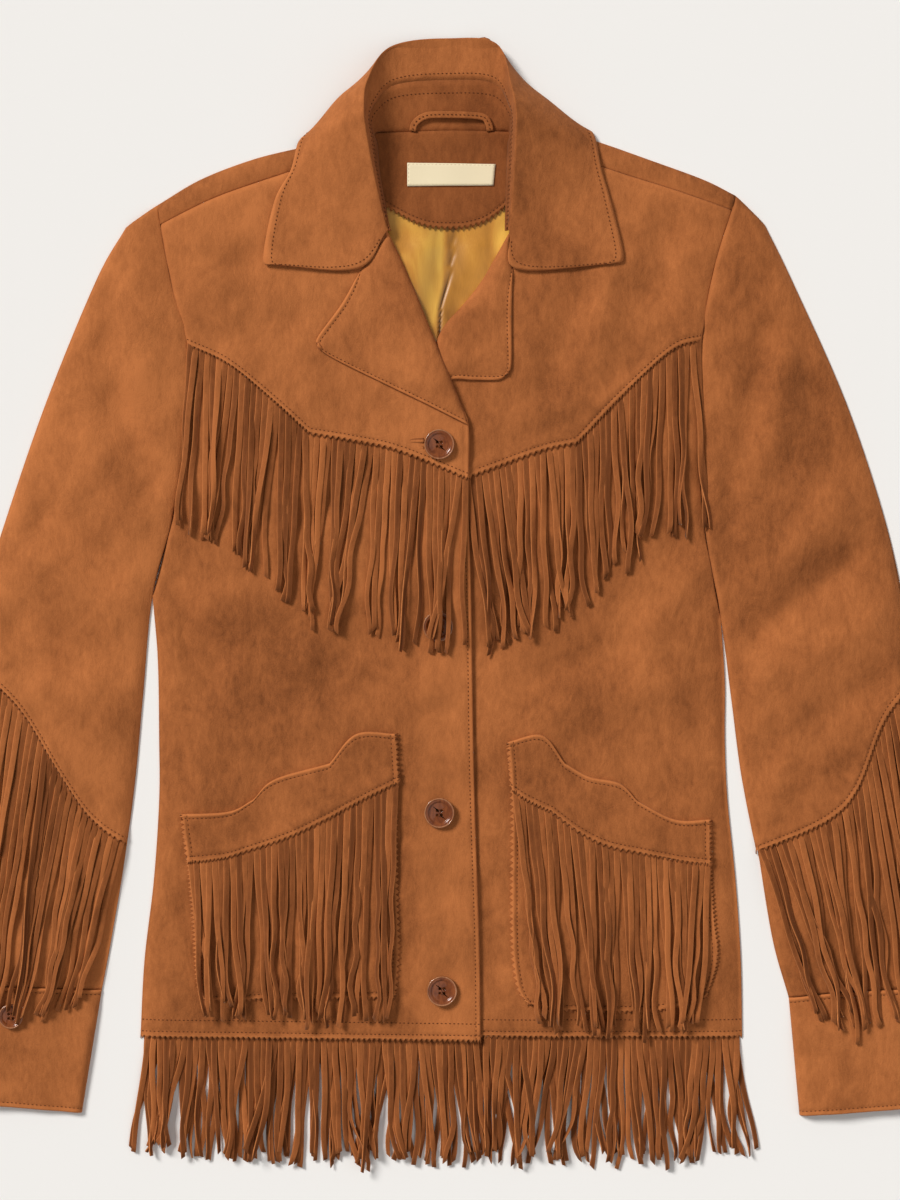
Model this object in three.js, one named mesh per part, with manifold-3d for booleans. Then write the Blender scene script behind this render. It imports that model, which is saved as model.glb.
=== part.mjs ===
// A fringed suede western jacket, buttoned and lying face up on a flat surface.
// Millimetres. X runs across it, +Y towards the collar, +Z up, and z = 0 is the surface.
// The wearer's right side is on -X, and the right front laps over the left one.

import * as THREE from 'three';
import Module from 'manifold-3d';

const wasm = await Module();
wasm.setup();

// ---------------------------------------------------------------- driving sizes

const suede = 1.2;                // wall of every suede piece
const satin = 1.0;                // wall of the lining
const tape = 1.0;                 // wall of the neck label
const seam = 0.3;                 // gap between pieces, beside or above one another
const settle = 0.2;               // extra height between cloths that lie on one another
const layer = suede + seam + settle;
const puff = 3.3;                 // how far the upper wall lifts off the lower one
const puffReach = 45;             // how far in from the outline it takes to lift
const strandDepth = 2.4;          // depth of the overlapping fringe strands
const hemY = -327;                // hem line
const hemFringe = 92;             // length of the hem fringe
const frontButtonRadius = 11.4;
const cuffButtonRadius = 9.3;
const buttonHeight = 3.6;
const buttonHole = 1.1;           // radius of one sewing hole
const buttonHoleSpread = 2.3;     // distance of a sewing hole from the button's middle

// ---------------------------------------------------------------- materials

const material = (color, roughness, metalness = 0) =>
  new THREE.MeshStandardMaterial({ color, roughness, metalness });
const brownSuede = material(0xb0673a, 0.95);
const innerSuede = material(0x8f5530, 0.95);
const fringeSuede = material(0x9c5a32, 0.95);
const goldSatin = material(0xd9a545, 0.35);
const creamTape = material(0xefddb5, 0.8);
const brownPlastic = material(0x6a3a20, 0.25);

// ---------------------------------------------------------------- plan outlines
// Each line runs up the jacket or from -X to +X. right and left are the wearer's.

const outwards = { right: -1, left: 1 };

const sideSeam = {
  right: [[-232, hemY], [-229, -270], [-222, -210], [-218, -150], [-218, -105], [-219, -45], [-223, 3]],
  left: [[219, hemY], [218, -270], [214, -210], [208, -150], [206, -105], [206, -60], [203, -14]],
};
// The armhole goes up to the yoke, on to the shoulder seam and over to the shoulder's edge.
const armhole = {
  right: [[[-223, 3], [-208, 60], [-197, 128], [-196, 191]], [[-196, 191], [-208, 235], [-217, 281]],
    [[-217, 281], [-219, 296]]],
  left: [[[203, -14], [191, 51], [186, 120], [188, 194]], [[188, 194], [198, 250], [211, 292]],
    [[211, 292], [214, 303]]],
};
const armholeParts = [4, 3, 1];
const shoulderSeam = {
  right: [[-217, 281], [-174, 302], [-122, 320], [-76, 334]],
  left: [[76, 336], [114, 324], [168, 307], [211, 292]],
};
const shoulderEdge = {
  right: [[-219, 296], [-187, 315], [-148, 330], [-112, 339], [-86, 345]],
  left: [[86, 350], [112, 343], [149, 330], [190, 315], [214, 303]],
};
const sleeveOuter = {
  right: [[-389, -286], [-386, -225], [-380, -150], [-369, -75], [-356, -15], [-333, 60],
    [-302, 150], [-265, 240], [-243, 279], [-219, 296]],
  left: [[388, -289], [380, -225], [370, -150], [356, -75], [343, -15], [326, 60],
    [296, 150], [256, 240], [236, 281], [214, 303]],
};
const sleeveInner = {
  right: [[-261, -292], [-254, -255], [-244, -195], [-236, -135], [-230, -70], [-224, 3]],
  left: [[254, -298], [242, -255], [232, -195], [219, -135], [211, -75], [204, -14]],
};
const frontEdge = [[23, hemY - 3], [22, -255], [18, -128], [16, 0], [14, 60], [14, 130]];
const hiddenFrontEdge = [[-28, hemY], [-28, -60], [-28, 150]];
const rollLine = {
  right: [[14, 130], [8, 147], [-10, 191], [-29, 238], [-46, 274]],
  left: [[44, 274], [23, 238], [9, 220], [-8, 199], [-28, 150]],
};
const neckEdge = {
  right: [[-46, 274], [-54, 286], [-65, 312], [-76, 333.7]],
  left: [[44, 274], [52, 286], [64, 312], [76, 335.7]],
};
const yokeEdge = {
  right: [[[-196, 191], [-165, 176], [-131, 148], [-105, 124]],
    [[-105, 124], [-75, 119], [-38, 111], [14, 90]]],
  left: [[[-24, 80], [15, 92], [68, 111], [95, 117]],
    [[95, 117], [128, 152], [165, 186], [188, 194]]],
};
const sleevePoint = {
  right: [[-362, -42], [-338, -64], [-316, -89], [-280, -149], [-262, -170], [-242.5, -183]],
  left: [[362, -45], [338, -72], [323, -93], [304, -142], [280, -166], [229.5, -189]],
};
const facingEdge = [[-57, 303], [-49, 295], [-22, 281], [2, 278], [21, 281], [35, 289], [50, 303]];

// ---------------------------------------------------------------- small helpers

const mix = THREE.MathUtils.lerp;
const ease = (from, to, value) => THREE.MathUtils.smoothstep(value, from, to);
const reversed = (points) => [...points].reverse();
const moved = (points, dx, dy) => points.map(([x, y]) => [x + dx, y + dy]);

function spacedPoints(points, parts) {
  const curve = new THREE.SplineCurve(points.map(([x, y]) => new THREE.Vector2(x, y)));
  return curve.getSpacedPoints(parts);
}

// An edge is one or more smooth stretches that meet at corners, each with its number of parts.
function edgePoints(stretches, parts) {
  const points = [];
  stretches.forEach((stretch, i) => {
    points.push(...spacedPoints(stretch, parts[i]).slice(points.length ? 1 : 0));
  });
  return points;
}

function pointAtY(points, y) {
  const i = points.findIndex((point, k) => k > 0 && (points[k - 1][1] - y) * (point[1] - y) <= 0);
  const [from, to] = [points[i - 1], points[i]];
  return [mix(from[0], to[0], (y - from[1]) / (to[1] - from[1])), y];
}

// The stretch of an upward line between two heights.
function between(points, low, high) {
  const inside = points.filter(([, y]) => y > low + 1 && y < high - 1);
  return [pointAtY(points, low), ...inside, pointAtY(points, high)];
}

// ---------------------------------------------------------------- heights

// Lines where the upper wall comes down to the lower one.
const outline = [...Object.values(sideSeam), ...Object.values(shoulderEdge),
  ...Object.values(sleeveOuter), ...Object.values(sleeveInner), [[-86, 345], [86, 350]]];
const outlineParts = outline.flatMap((points) => points.slice(1).map((point, i) => new THREE.Line3(
  new THREE.Vector3(...points[i], 0), new THREE.Vector3(...point, 0))));

function distanceToOutline(x, y) {
  const point = new THREE.Vector3(x, y, 0);
  const nearest = new THREE.Vector3();
  return Math.min(...outlineParts.map((line) => {
    line.closestPointToPoint(point, true, nearest);
    return nearest.distanceTo(point);
  }));
}

const rise = (x, y) => ease(0, puffReach, distanceToOutline(x, y));

// The back neck lifts over the collar fall that is folded under it.
const backUnder = (x, y) => layer * ease(306, 330, y) * (1 - ease(104, 116, Math.abs(x)));
const backTop = (x, y) => backUnder(x, y) + suede;
const liningUnder = (x, y) => backTop(x, y) + seam;
const facingUnder = (x, y) => liningUnder(x, y) + satin + seam;
const labelUnder = (x, y) => facingUnder(x, y) + layer;

// Lowest height of a front: the right one rises over the left lapel at the foot of the neck
// opening, and the left one stays low where the right one laps over it.
const hemRest = (x, y) => mix(0.5, 1, Math.max(ease(hemY, hemY + 70, y), 1 - ease(50, 110, Math.abs(x))));
const lapelStep = (x, y) => 2.9 * Math.exp(-(((x + 4) / 34) ** 2) - ((y - 158) / 72) ** 2);
const frontUnder = {
  right: (x, y) => backTop(x, y) + seam + puff * rise(x, y) * hemRest(x, y) + lapelStep(x, y),
  left: (x, y) => backTop(x, y) + seam + puff * rise(x, y) * hemRest(x, y) * mix(0.15, 1, ease(6, 100, x)),
};
const onFront = (side, layers) => (x, y) => frontUnder[side](x, y) + layers * layer;
const sleeveUnder = (x, y) => suede + seam + (puff - layer) * rise(x, y);
const onSleeve = (layers) => (x, y) => sleeveUnder(x, y) + layers * layer;
const flat = (height) => () => height;

// ---------------------------------------------------------------- closed solids

function solidFromVertices(positions, triangles) {
  const geometry = new THREE.BufferGeometry();
  geometry.setAttribute('position', new THREE.Float32BufferAttribute(positions, 3));
  geometry.setIndex(triangles);
  geometry.computeVertexNormals();
  return geometry;
}

// A wall between two grids of points that face each other, closed along its four sides.
function wallBetween(lower, upper) {
  const rows = lower.length;
  const columns = lower[0].length;
  const positions = [...lower.flat(), ...upper.flat()].flatMap((point) => point.toArray());
  const low = (i, j) => i * columns + j;
  const high = (i, j) => rows * columns + low(i, j);
  const triangles = [];
  const quad = (a, b, c, d) => triangles.push(a, b, c, a, c, d);
  for (let i = 0; i < rows - 1; i += 1) {
    for (let j = 0; j < columns - 1; j += 1) {
      quad(high(i, j), high(i, j + 1), high(i + 1, j + 1), high(i + 1, j));
      quad(low(i, j), low(i + 1, j), low(i + 1, j + 1), low(i, j + 1));
    }
    quad(low(i, 0), high(i, 0), high(i + 1, 0), low(i + 1, 0));
    quad(low(i, columns - 1), low(i + 1, columns - 1), high(i + 1, columns - 1), high(i, columns - 1));
  }
  for (let j = 0; j < columns - 1; j += 1) {
    quad(low(0, j), low(0, j + 1), high(0, j + 1), high(0, j));
    quad(low(rows - 1, j), high(rows - 1, j), high(rows - 1, j + 1), low(rows - 1, j + 1));
  }
  return solidFromVertices(positions, triangles);
}

// Plan points of a four-sided piece: bottom and top run to +X, left and right run up.
function planGrid({ bottom, top, left, right, across, along }) {
  const lower = edgePoints(bottom, across);
  const upper = edgePoints(top, across);
  const west = edgePoints(left, along);
  const east = edgePoints(right, along);
  const lastColumn = lower.length - 1;
  const lastRow = west.length - 1;
  return west.map((_, i) => lower.map((__, j) => {
    const u = j / lastColumn;
    const v = i / lastRow;
    const point = lower[j].clone().lerp(upper[j], v).add(west[i].clone().lerp(east[i], u));
    const corners = lower[0].clone().lerp(lower[lastColumn], u);
    corners.lerp(upper[0].clone().lerp(upper[lastColumn], u), v);
    return point.sub(corners);
  }));
}

function panel(edges, underside, wall = suede) {
  const plan = planGrid(edges);
  const at = (lift) =>
    plan.map((row) => row.map(({ x, y }) => new THREE.Vector3(x, y, underside(x, y) + lift)));
  return wallBetween(at(0), at(wall));
}

// A sheet of cloth round a grid of points in its middle, which folds in any direction.
function foldedSheet(grid, wall = suede) {
  const last = (list) => list.length - 1;
  const normal = (i, j) => {
    const down = grid[Math.max(i - 1, 0)][j];
    const up = grid[Math.min(i + 1, last(grid))][j];
    const before = grid[i][Math.max(j - 1, 0)];
    const after = grid[i][Math.min(j + 1, last(grid[i]))];
    return after.clone().sub(before).cross(up.clone().sub(down)).normalize();
  };
  const onGround = (point) => point.setZ(Math.max(point.z, 0));
  const at = (lift) => grid.map((row, i) => row.map((point, j) => {
    return onGround(point.clone().addScaledVector(normal(i, j), lift));
  }));
  return wallBetween(at(-wall / 2), at(wall / 2));
}

function toManifold(geometry) {
  const plain = geometry.index ? geometry : mergeByPosition(geometry);
  const vertProperties = new Float32Array(plain.getAttribute('position').array);
  const triVerts = new Uint32Array(plain.index.array);
  return new wasm.Manifold(new wasm.Mesh({ numProp: 3, vertProperties, triVerts }));
}

// Joins vertices that share a place, so that a three.js geometry closes.
function mergeByPosition(geometry) {
  const source = geometry.getAttribute('position');
  const order = geometry.index ? [...geometry.index.array] : [...Array(source.count).keys()];
  const found = new Map();
  const positions = [];
  const place = (i) => {
    const place = [source.getX(i), source.getY(i), source.getZ(i)];
    const point = place.map((value) => Math.round(value * 1e4) / 1e4);
    const key = point.map((value) => value + 0).join();
    if (!found.has(key)) {
      found.set(key, found.size);
      positions.push(...point);
    }
    return found.get(key);
  };
  const triangles = [];
  for (let i = 0; i < order.length; i += 3) {
    const [a, b, c] = order.slice(i, i + 3).map(place);
    if (a !== b && b !== c && a !== c) triangles.push(a, b, c);
  }
  return solidFromVertices(positions, triangles);
}

function fromManifold(solid) {
  const mesh = solid.getMesh();
  const positions = [];
  for (let i = 0; i < mesh.numVert; i += 1) {
    positions.push(...mesh.vertProperties.slice(i * mesh.numProp, i * mesh.numProp + 3));
  }
  return solidFromVertices(positions, [...mesh.triVerts]);
}

const joined = (geometries) => fromManifold(geometries.map(toManifold).reduce((a, b) => a.add(b)));

// ---------------------------------------------------------------- body

function backBody() {
  const body = panel({
    bottom: [[[-232, hemY], [219, hemY]]],
    top: [[...shoulderEdge.right, [-60, 349], [0, 348], [60, 349], ...shoulderEdge.left]],
    left: [sideSeam.right, ...armhole.right],
    right: [sideSeam.left, ...armhole.left],
    across: [18],
    along: [6, ...armholeParts],
  }, backUnder);
  return joined([body, shoulderWrap('right'), shoulderWrap('left')]);
}

// The back comes over the shoulder and is sewn to the front a little way down it.
function shoulderWrap(side) {
  const parts = 8;
  const inwards = side === 'right' ? 1 : -1;
  const seamLine = spacedPoints(shoulderSeam[side], parts);
  const edgeLine = spacedPoints(shoulderEdge[side], parts);
  const steps = [[0.02, 1, 0], [0.45, 0.96, 0], [0.8, 0.72, 0], [1, 0.4, -0.9], [1, 0, -1.6]];
  const grid = steps.map(([out, height, inset]) => seamLine.map((start, j) => {
    const place = start.clone().lerp(edgeLine[j], out);
    const top = onFront(side, 1)(start.x, start.y) + suede / 2;
    const foot = backUnder(place.x, place.y) + suede / 2;
    return new THREE.Vector3(place.x + inwards * 0.3, place.y + inset, mix(foot, top, height));
  }));
  return foldedSheet(grid);
}

function front(side) {
  const inwards = -outwards[side] * seam;
  const outer = [sideSeam[side], ...armhole[side].slice(0, 2)].map((stretch) => moved(stretch, inwards, 0));
  outer[2] = outer[2].with(-1, moved([outer[2].at(-1)], 0, -seam)[0]);
  const shared = { across: [10], along: [8, 4, 3] };
  if (side === 'right') {
    return panel({
      bottom: [[outer[0][0], [-122, hemY - 1], [23, hemY - 3]]],
      top: [[outer[2].at(-1), ...moved(shoulderSeam.right.slice(1, -1), 0, -seam), neckEdge.right.at(-1)]],
      left: outer,
      right: [frontEdge, rollLine.right, neckEdge.right],
      ...shared,
    }, frontUnder.right);
  }
  return panel({
    bottom: [[[-28, hemY], [107, hemY - 3], outer[0][0]]],
    top: [[neckEdge.left.at(-1), ...moved(shoulderSeam.left.slice(1, -1), 0, -seam), outer[2].at(-1)]],
    left: [hiddenFrontEdge, reversed(rollLine.left), neckEdge.left],
    right: outer,
    ...shared,
  }, frontUnder.left);
}

function yoke(side) {
  const outer = moved(armhole[side][1], -outwards[side] * seam, 0);
  outer[2] = moved([outer[2]], 0, -seam)[0];
  if (side === 'right') {
    return panel({
      bottom: [[outer[0], ...yokeEdge.right[0].slice(1)], yokeEdge.right[1]],
      top: splitLine([outer[2], ...moved(shoulderSeam.right.slice(1, -1), 0, -seam), neckEdge.right.at(-1)], 0.62),
      left: [outer],
      right: [[[14, 90], [14, 130], ...rollLine.right.slice(1), ...neckEdge.right.slice(1)]],
      across: [4, 5],
      along: [9],
    }, onFront('right', 1));
  }
  return panel({
    bottom: [yokeEdge.left[0], [...yokeEdge.left[1].slice(0, -1), outer[0]]],
    top: splitLine([neckEdge.left.at(-1), ...moved(shoulderSeam.left.slice(1, -1), 0, -seam), outer[2]], 0.38),
    left: [[[-24, 80], [-28, 150], ...reversed(rollLine.left).slice(1), ...neckEdge.left.slice(1)]],
    right: [outer],
    across: [5, 4],
    along: [9],
  }, onFront('left', 1));
}

// Cuts a line into two stretches at a share of its length.
const splitLine = (points, share) => splitInto(points, [share, 1 - share], 50);

// Cuts a line into stretches whose lengths are in the proportion of the given shares.
function splitInto(points, shares, fineness = 8) {
  const whole = shares.reduce((sum, share) => sum + share, 0);
  const steps = shares.map((share) => Math.round(share / whole * fineness * shares.length));
  const fine = spacedPoints(points, steps.reduce((sum, step) => sum + step, 0)).map(({ x, y }) => [x, y]);
  let start = 0;
  return steps.map((step) => {
    start += step;
    return fine.slice(start - step, start + 1);
  });
}

const yokeFringeEnd = {
  right: [[[-205, 56], [-165, 54], [-128, 24], [-112, 6]], [[-112, 6], [-70, -19], [-30, -7], [12, -5]]],
  left: [[[20, -38], [68, -19], [92, -4]], [[92, -4], [112, 19], [146, 50], [189, 52]]],
};

function yokeFringe(side) {
  const top = yokeEdge[side].map((stretch) => moved(stretch, 0, -seam));
  if (side === 'left') top[0] = [[18, 92.5], ...top[0].slice(2)];
  const bottom = yokeFringeEnd[side];
  return panel({
    bottom,
    top,
    left: [[bottom[0][0], top[0][0]]],
    right: [[bottom[1].at(-1), top[1].at(-1)]],
    across: [4, side === 'right' ? 5 : 4],
    along: [3],
  }, onFront(side, 1), strandDepth);
}

// ---------------------------------------------------------------- lapels

function lapel(side) {
  if (side === 'right') {
    return panel({
      bottom: [[[-98, 190], [-90, 182], [-48, 161], [-19, 147], [14, 130.5]]],
      top: [[[-68, 244], [-46, 273.5]]],
      left: [[[-98, 190], [-99, 196], [-81, 221], [-68, 244]]],
      right: [rollLine.right.with(0, [14, 130.5]).with(-1, [-46, 273.5])],
      across: [7],
      along: [6],
    }, onFront('right', 2));
  }
  return panel({
    bottom: [[[-27, 156], [-1, 169], [17, 166], [36, 164.5], [43, 169]]],
    top: [[[44, 273.5], [47, 244]]],
    left: [reversed(rollLine.left).with(0, [-27, 156]).with(-1, [44, 273.5])],
    right: [[[43, 169], [46, 177], [46, 218], [47, 244]]],
    across: [6],
    along: [6],
  }, onFront('left', 2));
}

// ---------------------------------------------------------------- inside of the neck

function backLining() {
  return panel({
    bottom: [[[-28, 175], [-19, 178]]],
    top: [[[-58, 300], [54, 300]]],
    left: [[[-28, 175], [-58, 300]]],
    right: [[[-19, 178], ...moved(reversed(rollLine.left).slice(1), -2, 0), [54, 300]]],
    across: [6],
    along: [7],
  }, liningUnder, satin);
}

function backNeckFacing() {
  return panel({
    bottom: [facingEdge],
    top: [[[-55, 347], [0, 349], [42, 348]]],
    left: [[[-57, 303], [-55, 347]]],
    right: [[[50, 303], [42, 348]]],
    across: [8],
    along: [4],
  }, facingUnder);
}

function neckLabel() {
  return panel({
    bottom: [[[-32, 309.5], [32.5, 310]]],
    top: [[[-32, 327], [34, 326]]],
    left: [[[-32, 309.5], [-32, 327]]],
    right: [[[32.5, 310], [34, 326]]],
    across: [4],
    along: [2],
  }, labelUnder, tape);
}

// A flat strap, bent round like a staple, lying on the collar stand.
function hangerLoop() {
  const middle = [
    [-28, 350.5], [-26.5, 356], [-20, 361], [-10, 362.5], [22, 361.5], [28.5, 356.5], [30, 350.5],
  ];
  const halfWidth = 2.5;
  const loopHeight = 6.9;
  const strapLine = new THREE.SplineCurve(middle.map(([x, y]) => new THREE.Vector2(x, y)));
  const parts = 18;
  const side = (sign) => Array.from({ length: parts + 1 }, (_, i) => {
    const along = strapLine.getTangentAt(i / parts);
    const across = new THREE.Vector2(-along.y, along.x).multiplyScalar(sign * halfWidth);
    return strapLine.getPointAt(i / parts).add(across);
  });
  const strap = new THREE.ExtrudeGeometry(new THREE.Shape([...side(-1), ...reversed(side(1))]), {
    depth: suede,
    bevelEnabled: false,
  });
  strap.translate(0, 0, loopHeight);
  return mergeByPosition(strap);
}

// ---------------------------------------------------------------- collar

// Sections round the neck from the right front to the left one. neck is on the neck seam,
// roll is the fold, mid is half way down the fall and edge is its outer edge.
const collarSections = [
  { neck: [-44, 276, 6.6], roll: [-46, 276, 12.5], mid: [-69, 247, 9.6], edge: [-133, 250, 8.7] },
  { neck: [-46, 284, 6.6], roll: [-48.5, 283, 14.5], mid: [-94, 264, 11], edge: [-139.5, 255, 8.7] },
  { neck: [-52, 318, 6.6], roll: [-57, 320, 23.5], mid: [-96, 308, 15.5], edge: [-131, 298, 8.7] },
  { neck: [-54, 340, 6.2], roll: [-62, 348, 29], mid: [-95, 338, 18], edge: [-119, 321, 8.7] },
  { neck: [-56, 348, 5.6], roll: [-63.5, 364, 31], mid: [-91, 354, 17], edge: [-113, 344, 4.4] },
  { neck: [-50, 350, 5.2], roll: [-61, 386, 26], mid: [-83, 376, 6.5], edge: [-102, 347, 0.6] },
  { neck: [-36, 350, 4.9], roll: [-44, 414, 9.5], mid: [-54, 388, 0.6], edge: [-62, 338, 0.6] },
  { neck: [0, 350, 4.9], roll: [0, 421.4, 2.8], mid: [0, 384, 0.6], edge: [0, 338, 0.6] },
  { neck: [30, 350, 4.9], roll: [35, 416, 8], mid: [48, 386, 0.6], edge: [58, 338, 0.6] },
  { neck: [43, 350, 5.4], roll: [45, 382, 25], mid: [71, 376, 6.5], edge: [99, 350, 0.6] },
  { neck: [44, 346, 5.6], roll: [48.5, 362, 31], mid: [81, 354, 17], edge: [108, 348, 4.4] },
  { neck: [43, 340, 6.2], roll: [48.5, 344, 29], mid: [84, 336, 18], edge: [113, 322, 8.7] },
  { neck: [42, 316, 6.6], roll: [47.5, 318, 23.5], mid: [85, 307, 15.5], edge: [120, 298, 8.7] },
  { neck: [41, 284, 6.6], roll: [45, 283, 14.5], mid: [84, 264, 11], edge: [129.5, 257, 8.7] },
  { neck: [41, 276, 6.6], roll: [44, 276, 12.5], mid: [50, 247, 9.6], edge: [122, 250.5, 8.7] },
];
const foldRadius = 2.1;            // radius of the fold at the middle of the cloth
const standShare = 0.5;            // the stand's share of the way from neck to fold
const sectionParts = 2;            // parts between one section of the table and the next

function smoothRow(column) {
  const points = collarSections.map((section) => new THREE.Vector3(...section[column]));
  const curve = new THREE.CatmullRomCurve3(points);
  const steps = (collarSections.length - 1) * sectionParts;
  return Array.from({ length: steps + 1 }, (_, i) => curve.getPoint(i / steps));
}

const neckRow = smoothRow('neck');
const rollRow = smoothRow('roll');
const midRow = smoothRow('mid');
const edgeRow = smoothRow('edge');

// The two cloths that leave a fold stay one fold apart, however tight it is.
function foldSides(i) {
  const towardNeck = neckRow[i].clone().sub(rollRow[i]).normalize();
  const towardMid = midRow[i].clone().sub(rollRow[i]).normalize();
  const inwards = towardNeck.clone().add(towardMid).normalize().multiplyScalar(foldRadius);
  const apart = towardNeck.clone().sub(towardMid).normalize().multiplyScalar(foldRadius);
  return {
    inner: rollRow[i].clone().add(inwards).add(apart),
    outer: rollRow[i].clone().add(inwards).sub(apart),
  };
}

function collarStand() {
  const grid = neckRow.map((neck, i) => [0, 0.5, 1].map((share) => {
    return neck.clone().lerp(foldSides(i).inner, share * standShare);
  }));
  return foldedSheet(grid);
}

function collar() {
  const grid = neckRow.map((neck, i) => {
    const { inner, outer } = foldSides(i);
    const foot = neck.clone().lerp(inner, standShare);
    const start = foot.lerp(inner, seam / foot.distanceTo(inner));
    const knots = [start, inner, rollRow[i], outer, midRow[i], edgeRow[i]];
    const curve = new THREE.CatmullRomCurve3(knots);
    const shares = [0, 0.5, 1, 2, 3, 3.5, 4, 4.35, 4.7, 5];
    return shares.map((share) => {
      const point = curve.getPoint(share / (knots.length - 1));
      return point.setZ(Math.max(point.z, suede / 2));
    });
  });
  return foldedSheet(grid);
}

// ---------------------------------------------------------------- sleeves and cuffs

// A panel whose across-lines are given from its outer side to its inner one.
function sidePanel(side, { bottom, top, outer, inner, across, along }, underside, wall) {
  const isRight = side === 'right';
  const turn = (stretches) => (isRight ? stretches : reversed(stretches).map(reversed));
  return panel({
    bottom: turn(bottom),
    top: turn(top),
    left: isRight ? outer : inner,
    right: isRight ? inner : outer,
    across: isRight ? across : reversed(across),
    along,
  }, underside, wall);
}

// The sleeve head, from the shoulder down to the underarm, a seam's gap off the armhole.
const headParts = reversed(armholeParts);
const sleeveHead = (side) => {
  return reversed(armhole[side]).map((stretch) => reversed(moved(stretch, outwards[side] * seam, 0)));
};

function sleeveUpper(side) {
  const point = sleevePoint[side];
  const head = sleeveHead(side);
  const [headOuter, headInner] = [head[0][0], head.at(-1).at(-1)];
  return sidePanel(side, {
    bottom: splitInto(point, headParts),
    top: head,
    outer: [[point[0], ...between(sleeveOuter[side], point[0][1], headOuter[1]).slice(1, -1), headOuter]],
    inner: [[point.at(-1), ...between(sleeveInner[side], point.at(-1)[1], headInner[1]).slice(1, -1), headInner]],
    across: headParts,
    along: [9],
  }, onSleeve(1));
}

const tuck = 14;                   // how far the lower sleeve runs up under the upper one

function cuffTop(side) {
  return side === 'right'
    ? [[-389, -286], [-338, -289], [-261, -292]]
    : [[388, -289], [302, -293], [254, -298]];
}

function sleeveLower(side) {
  const tucked = moved(sleevePoint[side], 0, tuck);
  const point = [pointAtY(sleeveOuter[side], tucked[0][1]), ...tucked.slice(1, -1),
    pointAtY(sleeveInner[side], tucked.at(-1)[1])];
  const wrist = moved(cuffTop(side), 0, seam);
  return sidePanel(side, {
    bottom: [wrist],
    top: [point],
    outer: [[wrist[0], ...between(sleeveOuter[side], wrist[0][1], point[0][1]).slice(1, -1), point[0]]],
    inner: [[wrist.at(-1), ...between(sleeveInner[side], wrist.at(-1)[1], point.at(-1)[1]).slice(1, -1),
      point.at(-1)]],
    across: [6],
    along: [5],
  }, sleeveUnder);
}

function sleeveBack(side) {
  const wrist = moved(cuffTop(side), 0, seam);
  const head = sleeveHead(side);
  return sidePanel(side, {
    bottom: splitInto(wrist, headParts),
    top: head,
    outer: [[wrist[0], ...sleeveOuter[side].slice(1, -1), head[0][0]]],
    inner: [[wrist.at(-1), ...sleeveInner[side].slice(1, -1), head.at(-1).at(-1)]],
    across: headParts,
    along: [10],
  }, flat(0));
}

const sleeveFringeEnd = {
  right: [[-386, -262], [-340, -290], [-300, -309], [-270, -304]],
  left: [[384, -262], [345, -296], [300, -318], [268, -310]],
};

function sleeveFringe(side) {
  const top = moved(sleevePoint[side], 0, -seam);
  const bottom = sleeveFringeEnd[side];
  return sidePanel(side, {
    bottom: splitInto(bottom, headParts),
    top: splitInto(top, headParts),
    outer: [[bottom[0], top[0]]],
    inner: [[bottom.at(-1), top.at(-1)]],
    across: headParts,
    along: [4],
  }, onCuffOrSleeve, strandDepth);
}

const onCuffOrSleeve = (x, y) => onSleeve(1)(x, y) + seam + 1.6 * (1 - ease(-285, -250, y));

const cuffEnd = {
  right: [[-392, -374], [-332, -379], [-283, -383]],
  left: [[392, -376], [332, -381], [268, -385]],
};

const cuffRise = 4;                // height of the cuff's upper wall over its lower one's middle

// The cuff is a flattened tube: its upper wall meets its lower one along both folds.
function cuff(side) {
  const top = cuffTop(side);
  const bottom = cuffEnd[side];
  const walls = {
    bottom: [bottom],
    top: [top],
    outer: [[bottom[0], top[0]]],
    inner: [[bottom.at(-1), [bottom.at(-1)[0] - outwards[side] * 6, bottom.at(-1)[1] + 10], top.at(-1)]],
    along: [4],
  };
  const upper = (x, y) => suede / 2 + cuffRise * ease(0, 16, distanceToCuffFold(side, x, y));
  return joined([
    sidePanel(side, { ...walls, across: [6] }, flat(0)),
    sidePanel(side, { ...walls, across: [10] }, upper),
  ]);
}

function distanceToCuffFold(side, x, y) {
  const top = cuffTop(side);
  const bottom = cuffEnd[side];
  const down = (top[0][1] - y) / (top[0][1] - bottom[0][1]);
  const outerX = mix(top[0][0], bottom[0][0], down);
  const innerX = mix(top.at(-1)[0], bottom.at(-1)[0], down);
  return Math.max(0, Math.min(Math.abs(x - outerX), Math.abs(x - innerX)) - 1);
}

// ---------------------------------------------------------------- pockets

// Stepped upper edges and slanted band edges, in three stretches from -X to +X.
const pocketTop = {
  right: [[[-201, -160], [-165, -158], [-147, -149]], [[-147, -149], [-131, -134], [-90, -122]],
    [[-90, -122], [-70, -100], [-40, -100]]],
  left: [[[43, -106], [69, -101], [86, -122]], [[86, -122], [104, -132], [127, -137], [140, -150]],
    [[140, -150], [168, -164], [195, -164]]],
};
const bandEdge = {
  right: [[[-196, -196], [-178, -194], [-165, -192]], [[-165, -192], [-122, -178], [-90, -163]],
    [[-90, -163], [-66, -150], [-38, -136]]],
  left: [[[46, -142], [58, -150], [75, -158]], [[75, -158], [97, -174], [118, -184], [146, -190]],
    [[146, -190], [172, -195], [195, -198]]],
};
const pocketBottom = {
  right: [
    [[-183, -300], [-150, -299], [-131, -298]],
    [[-131, -298], [-88, -298]],
    [[-88, -298], [-41, -298]],
  ],
  left: [[[58, -302], [69, -305], [85, -307]], [[85, -307], [121, -308], [151, -308]],
    [[151, -308], [180, -302], [192, -296]]],
};
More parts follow.
